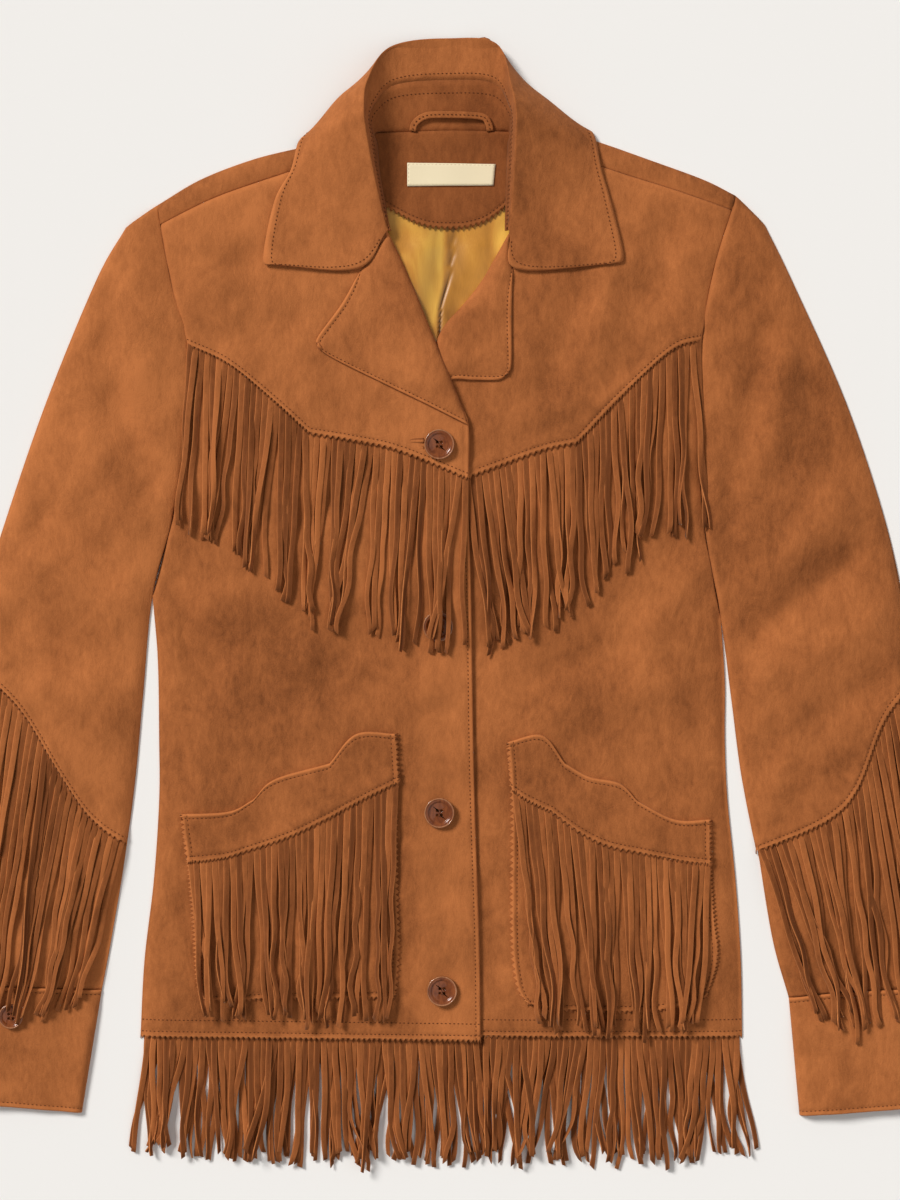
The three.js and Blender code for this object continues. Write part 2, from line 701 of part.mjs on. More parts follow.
const pocketSides = {
  right: [
    [[-183, -300], [-189, -284], [-196, -196], [-201, -160]],
    [[-41, -298], [-38, -262], [-40, -188], [-40, -100]],
  ],
  left: [[[58, -302], [50, -288], [46, -250], [46, -150], [43, -106]],
    [[192, -296], [200, -268], [198, -236], [195, -198], [195, -164]]],
};
const pocketFringeEnd = {
  right: [[[-186, -302], [-158, -309]], [[-158, -309], [-88, -314]], [[-88, -314], [-42, -311]]],
  left: [[[62, -308], [88, -318]], [[88, -318], [150, -321]], [[150, -321], [190, -316]]],
};

function pocket(side) {
  return panel({
    bottom: pocketBottom[side],
    top: pocketTop[side],
    left: [pocketSides[side][0]],
    right: [pocketSides[side][1]],
    across: [2, 3, 2],
    along: [6],
  }, onFront(side, 1));
}

function pocketBand(side) {
  return panel({
    bottom: bandEdge[side],
    top: pocketTop[side],
    left: [[bandEdge[side][0][0], pocketTop[side][0][0]]],
    right: [[bandEdge[side][2].at(-1), pocketTop[side][2].at(-1)]],
    across: [2, 3, 2],
    along: [2],
  }, onFront(side, 2));
}

function pocketFringe(side) {
  const top = bandEdge[side].map((stretch) => moved(stretch, 0, -seam));
  const bottom = pocketFringeEnd[side];
  return panel({
    bottom,
    top,
    left: [[bottom[0][0], top[0][0]]],
    right: [[bottom[2].at(-1), top[2].at(-1)]],
    across: [2, 3, 2],
    along: [4],
  }, onFront(side, 2), strandDepth);
}

// ---------------------------------------------------------------- hem fringe

function hemFringeBack() {
  const y = hemY - seam;
  return panel({
    bottom: [[[-238, -412], [-112, -419], [112, -419], [224, -412]]],
    top: [[[-232, y], [219, y]]],
    left: [[[-238, -412], [-232, y]]],
    right: [[[224, -412], [219, y]]],
    across: [10],
    along: [2],
  }, flat(0));
}

function hemFringeFront(side) {
  const isRight = side === 'right';
  const y = hemY - 3.5;
  const [from, to] = isRight ? [-232, 23] : [24, 219];
  const [low, high] = isRight ? [-238, 25] : [26, 224];
  const [outerEnd, innerEnd] = [hemY - hemFringe + 6, hemY - hemFringe - 2.5];
  const ends = isRight ? [outerEnd, innerEnd] : [innerEnd, outerEnd];
  return panel({
    bottom: [[[low, ends[0]], [mix(low, high, 0.5), hemY - hemFringe - 1], [high, ends[1]]]],
    top: [[[from, y], [to, y]]],
    left: [[[low, ends[0]], [from, y]]],
    right: [[[high, ends[1]], [to, y]]],
    across: [6],
    along: [2],
  }, flat(layer), strandDepth);
}

// ---------------------------------------------------------------- buttons and buttonhole

// A four-hole button with a raised rim round a dished middle.
function buttonShape(radius) {
  const profile = [[0, 0], [0.78, 0], [0.96, 0.28], [1, 0.6], [0.94, 0.92], [0.84, 1], [0.74, 0.86],
    [0.66, 0.62], [0, 0.5]].map(([out, up]) => new THREE.Vector2(out * radius, up * buttonHeight));
  const turned = new THREE.LatheGeometry(profile, 24);
  turned.rotateX(Math.PI / 2);
  let body = toManifold(mergeByPosition(turned));
  for (const [sx, sy] of [[-1, -1], [-1, 1], [1, -1], [1, 1]]) {
    const hole = new THREE.CylinderGeometry(buttonHole, buttonHole, 3 * buttonHeight, 6);
    hole.rotateX(Math.PI / 2);
    hole.translate(sx * buttonHoleSpread * Math.SQRT1_2, sy * buttonHoleSpread * Math.SQRT1_2, 0);
    body = body.subtract(toManifold(mergeByPosition(hole)));
  }
  return fromManifold(body);
}

const frontButtonPlaces = [
  { x: -8, y: 116, layers: 2 },
  { x: -9, y: -20, layers: 1 },
  { x: -8, y: -159, layers: 1 },
  { x: -6, y: -292, layers: 1 },
];
const cuffButtonPlaces = { right: { x: -328, y: -311 }, left: { x: 350, y: -316 } };

// The highest cloth under a disc, plus a seam's gap.
function restHeight(underside, x, y, radius) {
  const ring = [...Array(12).keys()].map((i) => i * Math.PI / 6);
  const heights = ring.map((angle) => underside(x + radius * Math.cos(angle), y + radius * Math.sin(angle)));
  return Math.max(underside(x, y), ...heights) + seam;
}

// The welt that binds the first buttonhole, beside the button.
function buttonholeWelt() {
  const [x0, x1, y0, y1] = [-29, -20, 111, 121];
  return panel({
    bottom: [[[x0, y0], [x1, y0]]],
    top: [[[x0, y1], [x1, y1]]],
    left: [[[x0, y0], [x0, y1]]],
    right: [[[x1, y0], [x1, y1]]],
    across: [2],
    along: [2],
  }, onFront('right', 2));
}

// ---------------------------------------------------------------- the jacket

const jacket = new THREE.Group();

function add(name, geometry, finish, place = [0, 0, 0]) {
  const mesh = new THREE.Mesh(geometry, finish);
  mesh.name = name;
  mesh.position.set(...place);
  jacket.add(mesh);
}

add('back_body', backBody(), brownSuede);
add('back_lining', backLining(), goldSatin);
add('back_neck_facing', backNeckFacing(), innerSuede);
add('neck_label', neckLabel(), creamTape);
add('hanger_loop', hangerLoop(), innerSuede);
add('collar_stand', collarStand(), innerSuede);
add('collar', collar(), brownSuede);
add('hem_fringe_back', hemFringeBack(), fringeSuede);
add('buttonhole_welt', buttonholeWelt(), brownSuede);

for (const side of ['right', 'left']) {
  add(`front_${side}`, front(side), brownSuede);
  add(`yoke_${side}`, yoke(side), brownSuede);
  add(`yoke_fringe_${side}`, yokeFringe(side), fringeSuede);
  add(`lapel_${side}`, lapel(side), brownSuede);
  add(`pocket_${side}`, pocket(side), brownSuede);
  add(`pocket_band_${side}`, pocketBand(side), brownSuede);
  add(`pocket_fringe_${side}`, pocketFringe(side), fringeSuede);
  add(`hem_fringe_front_${side}`, hemFringeFront(side), fringeSuede);
  add(`sleeve_upper_${side}`, sleeveUpper(side), brownSuede);
  add(`sleeve_lower_${side}`, sleeveLower(side), brownSuede);
  add(`sleeve_back_${side}`, sleeveBack(side), brownSuede);
  add(`sleeve_fringe_${side}`, sleeveFringe(side), fringeSuede);
  add(`cuff_${side}`, cuff(side), brownSuede);
}

const frontButton = buttonShape(frontButtonRadius);
frontButtonPlaces.forEach(({ x, y, layers }, i) => {
  const rest = restHeight(onFront('right', layers), x, y, frontButtonRadius);
  add(`front_button_${i + 1}`, frontButton, brownPlastic, [x, y, rest]);
});

const cuffButton = buttonShape(cuffButtonRadius);
for (const side of ['right', 'left']) {
  const { x, y } = cuffButtonPlaces[side];
  add(`cuff_button_${side}`, cuffButton, brownPlastic, [x, y, suede / 2 + cuffRise + suede + seam]);
}

export default jacket;
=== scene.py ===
"""A fringed suede western jacket lying face up: its looks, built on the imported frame."""

import math

import bmesh
import bpy
import numpy as np
from mathutils import Matrix, Vector


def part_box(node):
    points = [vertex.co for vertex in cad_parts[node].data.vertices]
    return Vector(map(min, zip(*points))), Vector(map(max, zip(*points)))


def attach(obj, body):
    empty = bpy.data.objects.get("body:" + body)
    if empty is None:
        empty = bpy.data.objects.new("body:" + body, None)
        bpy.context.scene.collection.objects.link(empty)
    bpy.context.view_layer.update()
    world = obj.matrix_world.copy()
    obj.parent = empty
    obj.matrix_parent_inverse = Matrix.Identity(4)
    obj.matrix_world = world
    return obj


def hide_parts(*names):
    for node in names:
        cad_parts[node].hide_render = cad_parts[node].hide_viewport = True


bl_info = {
    "name": "Fringed suede jacket",
    "version": (1, 0, 0),
    "blender": (4, 5, 0),
    "location": "View3D > Sidebar > Jacket",
    "description": "Builds a fringed suede western jacket on its packed frame",
    "category": "Object",
}

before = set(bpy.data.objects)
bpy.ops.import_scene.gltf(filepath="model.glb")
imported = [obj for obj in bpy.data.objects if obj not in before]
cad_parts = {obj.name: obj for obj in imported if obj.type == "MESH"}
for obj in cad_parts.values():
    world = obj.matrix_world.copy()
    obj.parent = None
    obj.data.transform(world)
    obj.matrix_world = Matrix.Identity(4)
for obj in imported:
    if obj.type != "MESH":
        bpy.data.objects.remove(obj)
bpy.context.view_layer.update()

MM = 0.001
SIDES = ("right", "left")
OUTWARDS = {"right": -1, "left": 1}
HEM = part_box("back_body")[0][1] / MM

# ---------------------------------------------------------------- plan outlines, in mm
# Lines run up the jacket or from -X to +X. right and left are the wearer's.

SIDE_SEAM = {
    "right": [(-232, -327), (-229, -270), (-222, -210), (-218, -150), (-218, -105), (-219, -45), (-223, 3)],
    "left": [(219, -327), (218, -270), (214, -210), (208, -150), (206, -105), (206, -60), (203, -14)],
}
ARMHOLE = {
    "right": [
        [(-223, 3), (-208, 60), (-197, 128), (-196, 191)],
        [(-196, 191), (-208, 235), (-217, 281)],
        [(-217, 281), (-219, 296)],
    ],
    "left": [
        [(203, -14), (191, 51), (186, 120), (188, 194)],
        [(188, 194), (198, 250), (211, 292)],
        [(211, 292), (214, 303)],
    ],
}
SHOULDER_SEAM = {
    "right": [(-217, 281), (-174, 302), (-122, 320), (-76, 334)],
    "left": [(76, 336), (114, 324), (168, 307), (211, 292)],
}
SHOULDER_EDGE = {
    "right": [(-219, 296), (-187, 315), (-148, 330), (-112, 339), (-86, 345)],
    "left": [(86, 350), (112, 343), (149, 330), (190, 315), (214, 303)],
}
SLEEVE_OUTER = {
    "right": [(-389, -286), (-386, -225), (-380, -150), (-369, -75), (-356, -15), (-333, 60),
              (-302, 150), (-265, 240), (-243, 279), (-219, 296)],
    "left": [(388, -289), (380, -225), (370, -150), (356, -75), (343, -15), (326, 60),
             (296, 150), (256, 240), (236, 281), (214, 303)],
}
SLEEVE_INNER = {
    "right": [(-261, -292), (-254, -255), (-244, -195), (-236, -135), (-230, -70), (-224, 3)],
    "left": [(254, -298), (242, -255), (232, -195), (219, -135), (211, -75), (204, -14)],
}
FRONT_EDGE = [(23, -330), (22, -255), (18, -128), (16, 0), (14, 60), (14, 130)]
HIDDEN_FRONT_EDGE = [(-28, -327), (-28, -60), (-28, 150)]
ROLL_LINE = {
    "right": [(14, 130), (8, 147), (-10, 191), (-29, 238), (-46, 274)],
    "left": [(-28, 150), (-8, 199), (9, 220), (23, 238), (44, 274)],
}
NECK_EDGE = {
    "right": [(-46, 274), (-54, 286), (-65, 312), (-76, 334)],
    "left": [(44, 274), (52, 286), (64, 312), (76, 336)],
}
YOKE_EDGE = {
    "right": [[(-196, 191), (-165, 176), (-131, 148), (-105, 124)], [(-105, 124), (-75, 119), (-38, 111), (14, 90)]],
    "left": [[(-24, 80), (15, 92), (68, 111), (95, 117)], [(95, 117), (128, 152), (165, 186), (188, 194)]],
}
SLEEVE_POINT = {
    "right": [(-362, -42), (-338, -64), (-316, -89), (-280, -149), (-262, -170), (-242.5, -183)],
    "left": [(362, -45), (338, -72), (323, -93), (304, -142), (280, -166), (229.5, -189)],
}
CUFF_TOP = {
    "right": [(-389, -286), (-338, -289), (-261, -292)],
    "left": [(388, -289), (302, -293), (254, -298)],
}
CUFF_END = {
    "right": [(-392, -374), (-332, -379), (-276, -384)],
    "left": [(392, -376), (332, -381), (262, -386)],
}
FACING_EDGE = [(-57, 303), (-49, 295), (-22, 281), (2, 278), (21, 281), (35, 289), (50, 303)]
POCKET_TOP = {
    "right": [[(-201, -160), (-165, -158), (-147, -149)], [(-147, -149), (-131, -134), (-90, -122)],
              [(-90, -122), (-70, -100), (-40, -100)]],
    "left": [[(43, -106), (69, -101), (86, -122)], [(86, -122), (104, -132), (127, -137), (140, -150)],
             [(140, -150), (168, -164), (195, -164)]],
}
BAND_EDGE = {
    "right": [[(-196, -196), (-178, -194), (-165, -192)], [(-165, -192), (-122, -178), (-90, -163)],
              [(-90, -163), (-66, -150), (-38, -136)]],
    "left": [[(46, -142), (58, -150), (75, -158)], [(75, -158), (97, -174), (118, -184), (146, -190)],
             [(146, -190), (172, -195), (195, -198)]],
}
POCKET_BOTTOM = {
    "right": [[(-183, -300), (-150, -299), (-131, -298)], [(-131, -298), (-88, -298)], [(-88, -298), (-41, -298)]],
    "left": [[(58, -302), (69, -305), (85, -307)], [(85, -307), (121, -308), (151, -308)],
             [(151, -308), (180, -302), (192, -296)]],
}
POCKET_SIDES = {
    "right": ([(-183, -300), (-189, -284), (-196, -196), (-201, -160)],
              [(-41, -298), (-38, -262), (-40, -188), (-40, -100)]),
    "left": ([(58, -302), (50, -288), (46, -250), (46, -150), (43, -106)],
             [(192, -296), (200, -268), (198, -236), (195, -198), (195, -164)]),
}

# ---------------------------------------------------------------- curves and plan grids


def smooth_line(points, per_span=14):
    """Dense points on a smooth curve through the given ones."""
    p = np.asarray(points, float)
    if len(p) == 2:
        return np.linspace(p[0], p[1], per_span + 1)
    padded = np.vstack([2 * p[0] - p[1], p, 2 * p[-1] - p[-2]])
    out = []
    for a, b, c, d in zip(padded, padded[1:], padded[2:], padded[3:]):
        t = np.linspace(0, 1, per_span, endpoint=False)[:, None]
        out.append(0.5 * (2 * b + (c - a) * t + (2 * a - 5 * b + 4 * c - d) * t**2 + (3 * b - a - 3 * c + d) * t**3))
    return np.vstack([*out, p[-1:]])


def line_length(path):
    return float(np.linalg.norm(np.diff(path, axis=0), axis=1).sum())


def at_shares(path, shares):
    """Points of a dense path at shares of its length."""
    reach = np.concatenate([[0], np.cumsum(np.linalg.norm(np.diff(path, axis=0), axis=1))])
    shares = np.asarray(shares) * reach[-1]
    return np.stack([np.interp(shares, reach, path[:, k]) for k in range(path.shape[1])], axis=1)


def stepped(length, step, start=(), end=()):
    """Shares of a length: uneven steps in mm at its start and end, and even ones between."""
    first = [s for s in start if s < length * 0.4]
    last = [length - s for s in end if s < length * 0.4]
    low, high = (first[-1] if first else 0.0), (min(last) if last else length)
    count = max(2, round((high - low) / step))
    middle = np.linspace(low, high, count + 1)
    return np.unique(np.round(np.concatenate([first, middle, last]), 5)) / length


def paired_edges(one, other, step, start=(), end=()):
    """Two opposite edges of a piece, given as stretches between corners, sampled alike."""
    ones, others, reach = [], [], [0.0]
    for k, (a, b) in enumerate(zip(one, other)):
        a, b = smooth_line(a), smooth_line(b)
        length = 0.5 * (line_length(a) + line_length(b))
        shares = stepped(length, step, start if k == 0 else (), end if k == len(one) - 1 else ())
        shares = shares if k == 0 else shares[1:]
        ones.append(at_shares(a, shares))
        others.append(at_shares(b, shares))
        begin = reach[-1] if k else 0.0
        reach = reach + list(begin + shares * length) if k else list(shares * length)
    return np.vstack(ones), np.vstack(others), np.array(reach) / reach[-1]


LOWEST = 1.3  # the outer face of cloth that lies on the table
STITCH_ROW = 3.5  # from a turned edge in to its stitches
PINKED_ROW = 4.3  # from a pinked edge in to its stitches
TOOTH = 1.55  # how far a pinked tooth goes out, and the notch beside it in

EDGE_STEPS = {
    "stitched": (0, 0.7, 1.6, 2.7, 3.5, 4.3, 6.0),
    "pinked": (0, 1.3, 2.6, 3.6, 4.3, 5.0, 7.0),
    "fold": (0, 0.15, 0.6, 1.5, 3.0, 5.5),
    "roll": (0, 0.15, 0.6, 1.5, 3.0, 5.5),
    "seam": (0, 0.5, 1.3, 2.6, 4.5),
}


class Piece:
    """A four-sided cut piece: its plan grid, its heights and how far each point is from each edge."""

    def __init__(self, bottom, top, left, right, edges, step=3.0, side_step=None):
        self.edges = edges
        fine = {side: EDGE_STEPS.get(kind, ()) for side, kind in edges.items()}
        lower, upper, u = paired_edges(bottom, top, step, fine.get("left", ()), fine.get("right", ()))
        west, east, v = paired_edges(left, right, side_step or step, fine.get("bottom", ()), fine.get("top", ()))
        u, v = u[None, :, None], v[:, None, None]
        corners = (1 - v) * ((1 - u) * lower[0] + u * lower[-1]) + v * ((1 - u) * upper[0] + u * upper[-1])
        self.plan = (1 - v) * lower[None] + v * upper[None] + (1 - u) * west[:, None] + u * east[:, None] - corners
        across = np.linalg.norm(np.diff(self.plan, axis=1), axis=2).cumsum(axis=1)
        along = np.linalg.norm(np.diff(self.plan, axis=0), axis=2).cumsum(axis=0)
        self.off = {
            "left": np.pad(across, ((0, 0), (1, 0))),
            "bottom": np.pad(along, ((1, 0), (0, 0))),
        }
        self.off["right"] = self.off["left"][:, -1:] - self.off["left"]
        self.off["top"] = self.off["bottom"][-1:] - self.off["bottom"]
        # Per point: wear on the suede, which lightens its edges, and painted shade on the satin, which darkens it
        # along its pleat.
        self.rub = np.zeros(self.plan.shape[:2])
        self.face_down = False
        self.z = np.zeros(self.plan.shape[:2])
        ring = np.vstack([self.plan[0], self.plan[1:, -1], self.plan[-1, -2::-1], self.plan[-2:0:-1, 0]])
        x, y = ring.T
        self.area = 0.5 * abs(float(np.dot(x, np.roll(y, -1)) - np.dot(y, np.roll(x, -1)))) * MM * MM
        low, high = ring.min(axis=0), ring.max(axis=0)
        self.size = tuple(float(s) * MM for s in high - low)

    def lay(self, height, lift=0.0):
        self.z = height(self.plan[..., 0], self.plan[..., 1]) + lift
        return self

    def finish_edges(self):
        """Presses the edges into their stitched, pinked, folded or seamed shape."""
        for side, kind in self.edges.items():
            d = self.off[side]
            if kind in ("stitched", "pinked"):
                row = STITCH_ROW if kind == "stitched" else PINKED_ROW
                self.z += 0.35 * bell(d, 1.8, 1.2) - 0.55 * bell(d, row, 0.75) - 0.5 * bell(d, 0, 0.6)
                self.rub = np.maximum(self.rub, bell(d, 0.4, 1.6))
                x, y = self.plan[..., 0], self.plan[..., 1]
                pulled = np.sin((x + 0.6 * y) / 2.9) + 0.8 * np.sin((0.7 * x - y) / 4.1)
                self.z += 0.2 * pulled * bell(d, 7.5, 5.0)
            if kind == "fold":
                self.z -= np.maximum(0.0, self.z - LOWEST) * fold_drop(d, 8.0)
            if kind == "roll":
                self.z -= 2.2 * fold_drop(d, 5.0)
            if kind == "seam":
                self.z -= 2.1 * np.exp(-d / 3.0)
                self.rub = np.maximum(self.rub, 0.35 * bell(d, 1.5, 1.5))
            if kind == "pinked":
                self._pink(side)
        self.z = np.maximum(self.z, LOWEST)
        return self

    def _pink(self, side):
        """Cuts teeth into one edge by moving every other point of it in or out."""
        p = self.plan
        outer, inner = {
            "left": (p[:, 0], p[:, 2]),
            "right": (p[:, -1], p[:, -3]),
            "bottom": (p[0], p[2]),
            "top": (p[-1], p[-3]),
        }[side]
        away = outer - inner
        away /= np.linalg.norm(away, axis=1)[:, None]
        sign = np.where(np.arange(len(outer)) % 2 == 0, 1.0, -1.0)[:, None]
        outer += away * TOOTH * sign

    def points(self):
        return np.dstack([self.plan, self.z])

    def grid(self, tint):
        """Its points, its wear and painted shade, and its tone and painted light, in the order that turns its outer
        face the right way.
        """
        points, rub = self.points(), self.rub
        return (points[:, ::-1], rub[:, ::-1], tint) if self.face_down else (points, rub, tint)

    def lift(self, side, amount, near=5, far=17):
        """Raises the cloth along one edge, over what is caught beneath it."""
        self.z += amount * (1 - ease(near, far, self.off[side]))
        return self

    def puff(self, amount, reach=22):
        """Lets the cloth stand a little off what it is sewn to, between its seams."""
        inside = np.minimum.reduce(list(self.off.values()))
        self.z += amount * ease(0, reach, inside)
        return self

    def row(self, side, offset):
        """The line on the cloth at an offset from one edge."""
        d, points = self.off[side], self.points()
        if side in ("left", "right"):
            d, points = d.T, points.transpose(1, 0, 2)
        if side in ("top", "right"):
            d, points = d[::-1], points[::-1]
        return np.stack([[np.interp(offset, d[:, j], points[:, j, k]) for k in range(3)] for j in range(d.shape[1])])


def bell(d, middle, width):
    return np.exp(-(((d - middle) / width) ** 2))


def fold_drop(d, radius):
    """How far a folded edge has turned down, from 1 at the fold to 0 a radius away."""
    inside = np.clip(1 - d / radius, 0, 1)
    return 1 - np.sqrt(np.clip(1 - inside**2.2, 0, 1))


def ease(low, high, value):
    t = np.clip((np.asarray(value, float) - low) / (high - low), 0, 1)
    return t * t * (3 - 2 * t)


# ---------------------------------------------------------------- heights of the laid cloth, in mm


def distance_to(lines, x, y):
    """The distance from each point to the nearest of several smooth lines."""
    best = np.full(np.shape(x), 1e9)
    for points in lines:
        path = smooth_line(points, 5)
        for a, b in zip(path, path[1:]):
            along = b - a
            t = np.clip(((x - a[0]) * along[0] + (y - a[1]) * along[1]) / (along @ along), 0, 1)
            best = np.minimum(best, np.hypot(x - a[0] - t * along[0], y - a[1] - t * along[1]))
    return best


BODY_OUTLINE = [*SIDE_SEAM.values(), *SHOULDER_EDGE.values()]
ARMHOLES = [stretch for side in SIDES for stretch in ARMHOLE[side]]

# Soft troughs (negative depth) and ridges: from x, y to x, y, half width, depth.
BODY_CREASES = [
    (-190, -30, -120, -75, 16, -1.7), (-175, -10, -110, -48, 12, 1.0), (-205, -85, -150, -110, 14, 1.2),
    (-150, -55, -60, -95, 18, 1.3), (-95, -60, -30, -120, 15, -1.3), (-60, -45, -15, -70, 12, 1.0),
    (-210, 10, -180, -60, 13, -1.6), (-120, 210, -150, 250, 14, -1.4), (-95, 160, -128, 215, 13, 1.0),
    (-75, 150, -40, 132, 10, -0.9), (-165, 215, -190, 265, 14, 1.2), (-60, 100, -110, 60, 14, -1.0),
    (60, -60, 130, -30, 16, -1.5), (90, -80, 165, -60, 15, 1.2), (150, -20, 195, 30, 15, 1.4),
    (185, -70, 200, -130, 12, -1.4), (40, -20, 55, 40, 12, -1.1), (95, 225, 75, 160, 15, -1.6),
    (120, 250, 108, 180, 14, 1.3), (150, 230, 165, 280, 15, -1.3), (60, 140, 110, 150, 12, 0.9),
    (-210, -215, -185, -260, 12, -1.2), (-30, -190, -10, -265, 12, 0.9), (-20, -90, 5, -150, 12, -0.9),
    (205, -240, 212, -310, 10, 1.0), (30, -215, 36, -300, 9, -1.0), (-130, -305, -125, -330, 8, -1.0),
]
SLEEVE_CREASES = [
    (-300, 60, -255, 20, 16, -2.0), (-310, 30, -250, -12, 13, 1.4), (-322, -20, -245, -48, 18, -2.1),
    (-250, 150, -222, 90, 14, -1.6), (-270, 120, -236, 60, 12, 1.2), (-240, 230, -226, 180, 12, 1.3),
    (-262, 215, -248, 150, 13, -1.2), (-300, -70, -240, -110, 15, 1.3), (-285, 200, -262, 215, 13, 1.0),
    (-330, -120, -250, -175, 16, -1.4), (-345, 0, -330, -60, 14, 1.2), (-360, -200, -280, -225, 14, 1.1),
    (-300, -350, -285, -310, 10, -1.0), (-350, -330, -370, -360, 11, 0.9),
    (296, 70, 240, 20, 16, 1.7), (300, 30, 232, -20, 14, -1.9), (316, -20, 228, -62, 17, 1.6),
    (236, 200, 222, 130, 12, -1.7), (252, 180, 236, 100, 13, 1.3), (262, 215, 280, 140, 14, -1.4),
    (210, 90, 206, 20, 10, -1.5), (318, -60, 240, -110, 15, -1.7), (262, -80, 238, -150, 12, 1.3),
    (335, -40, 345, -110, 14, 1.1), (240, 275, 262, 235, 12, 1.2), (290, 120, 312, 60, 14, -1.1),
    (300, -350, 280, -315, 10, 0.9), (350, -330, 330, -365, 11, -0.9),
]


CREASE_SCALE = 2.2  # how much deeper all the creases lie


def creases(table, x, y):
    total = np.zeros(np.shape(x))
    for x0, y0, x1, y1, width, depth in table:
        along = np.array([x1 - x0, y1 - y0], float)
        t = ((x - x0) * along[0] + (y - y0) * along[1]) / (along @ along)
        nearest = np.clip(t, 0, 1)
        bend = 0.18 * width * np.sin(math.pi * nearest)
        d = np.hypot(x - x0 - nearest * along[0], y - y0 - nearest * along[1]) + bend * 0.3
        total += depth * np.exp(-((d / width) ** 2))
    return CREASE_SCALE * total


def waves(x, y, seed):
    """Slow unevenness of hand-cut suede."""
    rng = np.random.default_rng(seed)
    total = np.zeros(np.shape(x))
    for length, height in ((120, 0.55), (75, 0.42), (46, 0.3), (28, 0.16), (17, 0.08)):
        for _ in range(3):
            turn = rng.uniform(0, math.tau)
            phase = rng.uniform(0, math.tau)
            total += height * np.sin((x * math.cos(turn) + y * math.sin(turn)) * math.tau / length + phase)
    return total


def body_height(x, y):
    d = distance_to(BODY_OUTLINE, x, y)
    rise = 1 - np.exp(-d / 13)
    hem = 0.7 + 0.3 * ease(HEM, HEM + 60, y)
    folds = creases(BODY_CREASES, x, y) + 0.85 * waves(x, y, 3)
    return 1.8 + 4.9 * rise * hem + folds * ease(0, 30, d) * (0.45 + 0.55 * ease(HEM, HEM + 40, y))


LAYER = 1.35  # one thickness of suede with the air under it
FRONT_BUTTONS = {"front_button_1": 1, "front_button_2": 0, "front_button_3": 0, "front_button_4": 0}


def button_seat(node):
    """The middle of a button and the height of its underside, in mm."""
    low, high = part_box(node)
    return (low[0] + high[0]) / 2 / MM, (low[1] + high[1]) / 2 / MM, low[2] / MM


def pulled_to_buttons(height, buttons, reach=19):
    """The cloth drawn to just under each button, given the layers that lie on it there."""
    pulls = []
    for node, layers in buttons.items():
        x, y, seat = button_seat(node)
        there = float(height(np.array([x]), np.array([y]))[0])
        pulls.append((x, y, seat - 0.1 - layers * LAYER - there))

    def pulled(x, y):
        total = height(x, y)
        for bx, by, amount in pulls:
            total = total + amount * np.exp(-((np.hypot(x - bx, y - by) / reach) ** 4))
        return total

    return pulled


def front_height(side):
    def height(x, y):
        base = body_height(x, y)
        rolled = fold_drop(distance_to([ROLL_LINE[side]], x, y), 9) * ease(128, 150, y) * (1 - ease(262, 276, y))
        if side == "right":
            lapped = ease(-60, 0, x)
            return base + 1.2 * lapped + 2.2 * bell(x, -4, 34) * bell(y, 158, 72) - 3.2 * rolled
        return base - 2.3 * (1 - ease(12, 60, x)) - 2.2 * rolled

    return pulled_to_buttons(height, FRONT_BUTTONS) if side == "right" else height


def over(height, layers):
    return lambda x, y: height(x, y) + layers * LAYER


def sleeve_height(x, y):
    outline = [*SLEEVE_OUTER.values(), *SLEEVE_INNER.values()]
    d = distance_to(outline, x, y)
    rise = 1 - np.exp(-d / 15)
    wrist = 0.62 + 0.38 * ease(-300, -200, y)
    folds = (creases(SLEEVE_CREASES, x, y) + 0.8 * waves(x, y, 8)) * ease(0, 28, d)
    shoulder = ease(-20, 30, y) * (1 - ease(0, 26, distance_to(ARMHOLES, x, y)))
    return 2.0 + (6.6 - 1.4 * shoulder) * rise * wrist + folds * (1 - 0.6 * shoulder) * (0.4 + 0.6 * wrist)


def flat_height(level):
    return lambda x, y: np.full(np.shape(x), float(level))


# ---------------------------------------------------------------- shader maths and finishes


def linear(red, green, blue):
    """An sRGB colour of 0 to 255 as the linear colour that shaders take."""
    def one(value):
        value /= 255
        return value / 12.92 if value <= 0.04045 else ((value + 0.055) / 1.055) ** 2.4
    return (one(red), one(green), one(blue), 1.0)


class Signal:
    """A number that varies over a surface, to be used in sums."""

    def __init__(self, finish, socket):
        self.finish, self.socket = finish, socket

    def _maths(self, operation, first, second):
        return self.finish.node("ShaderNodeMath", {"operation": operation}, {0: first, 1: second})

    def __add__(self, other):
        return self._maths("ADD", self, other)

    def __radd__(self, other):
        return self._maths("ADD", other, self)

    def __sub__(self, other):
        return self._maths("SUBTRACT", self, other)

    def __rsub__(self, other):
        return self._maths("SUBTRACT", other, self)

    def __mul__(self, other):
        return self._maths("MULTIPLY", self, other)

    def __rmul__(self, other):
        return self._maths("MULTIPLY", other, self)


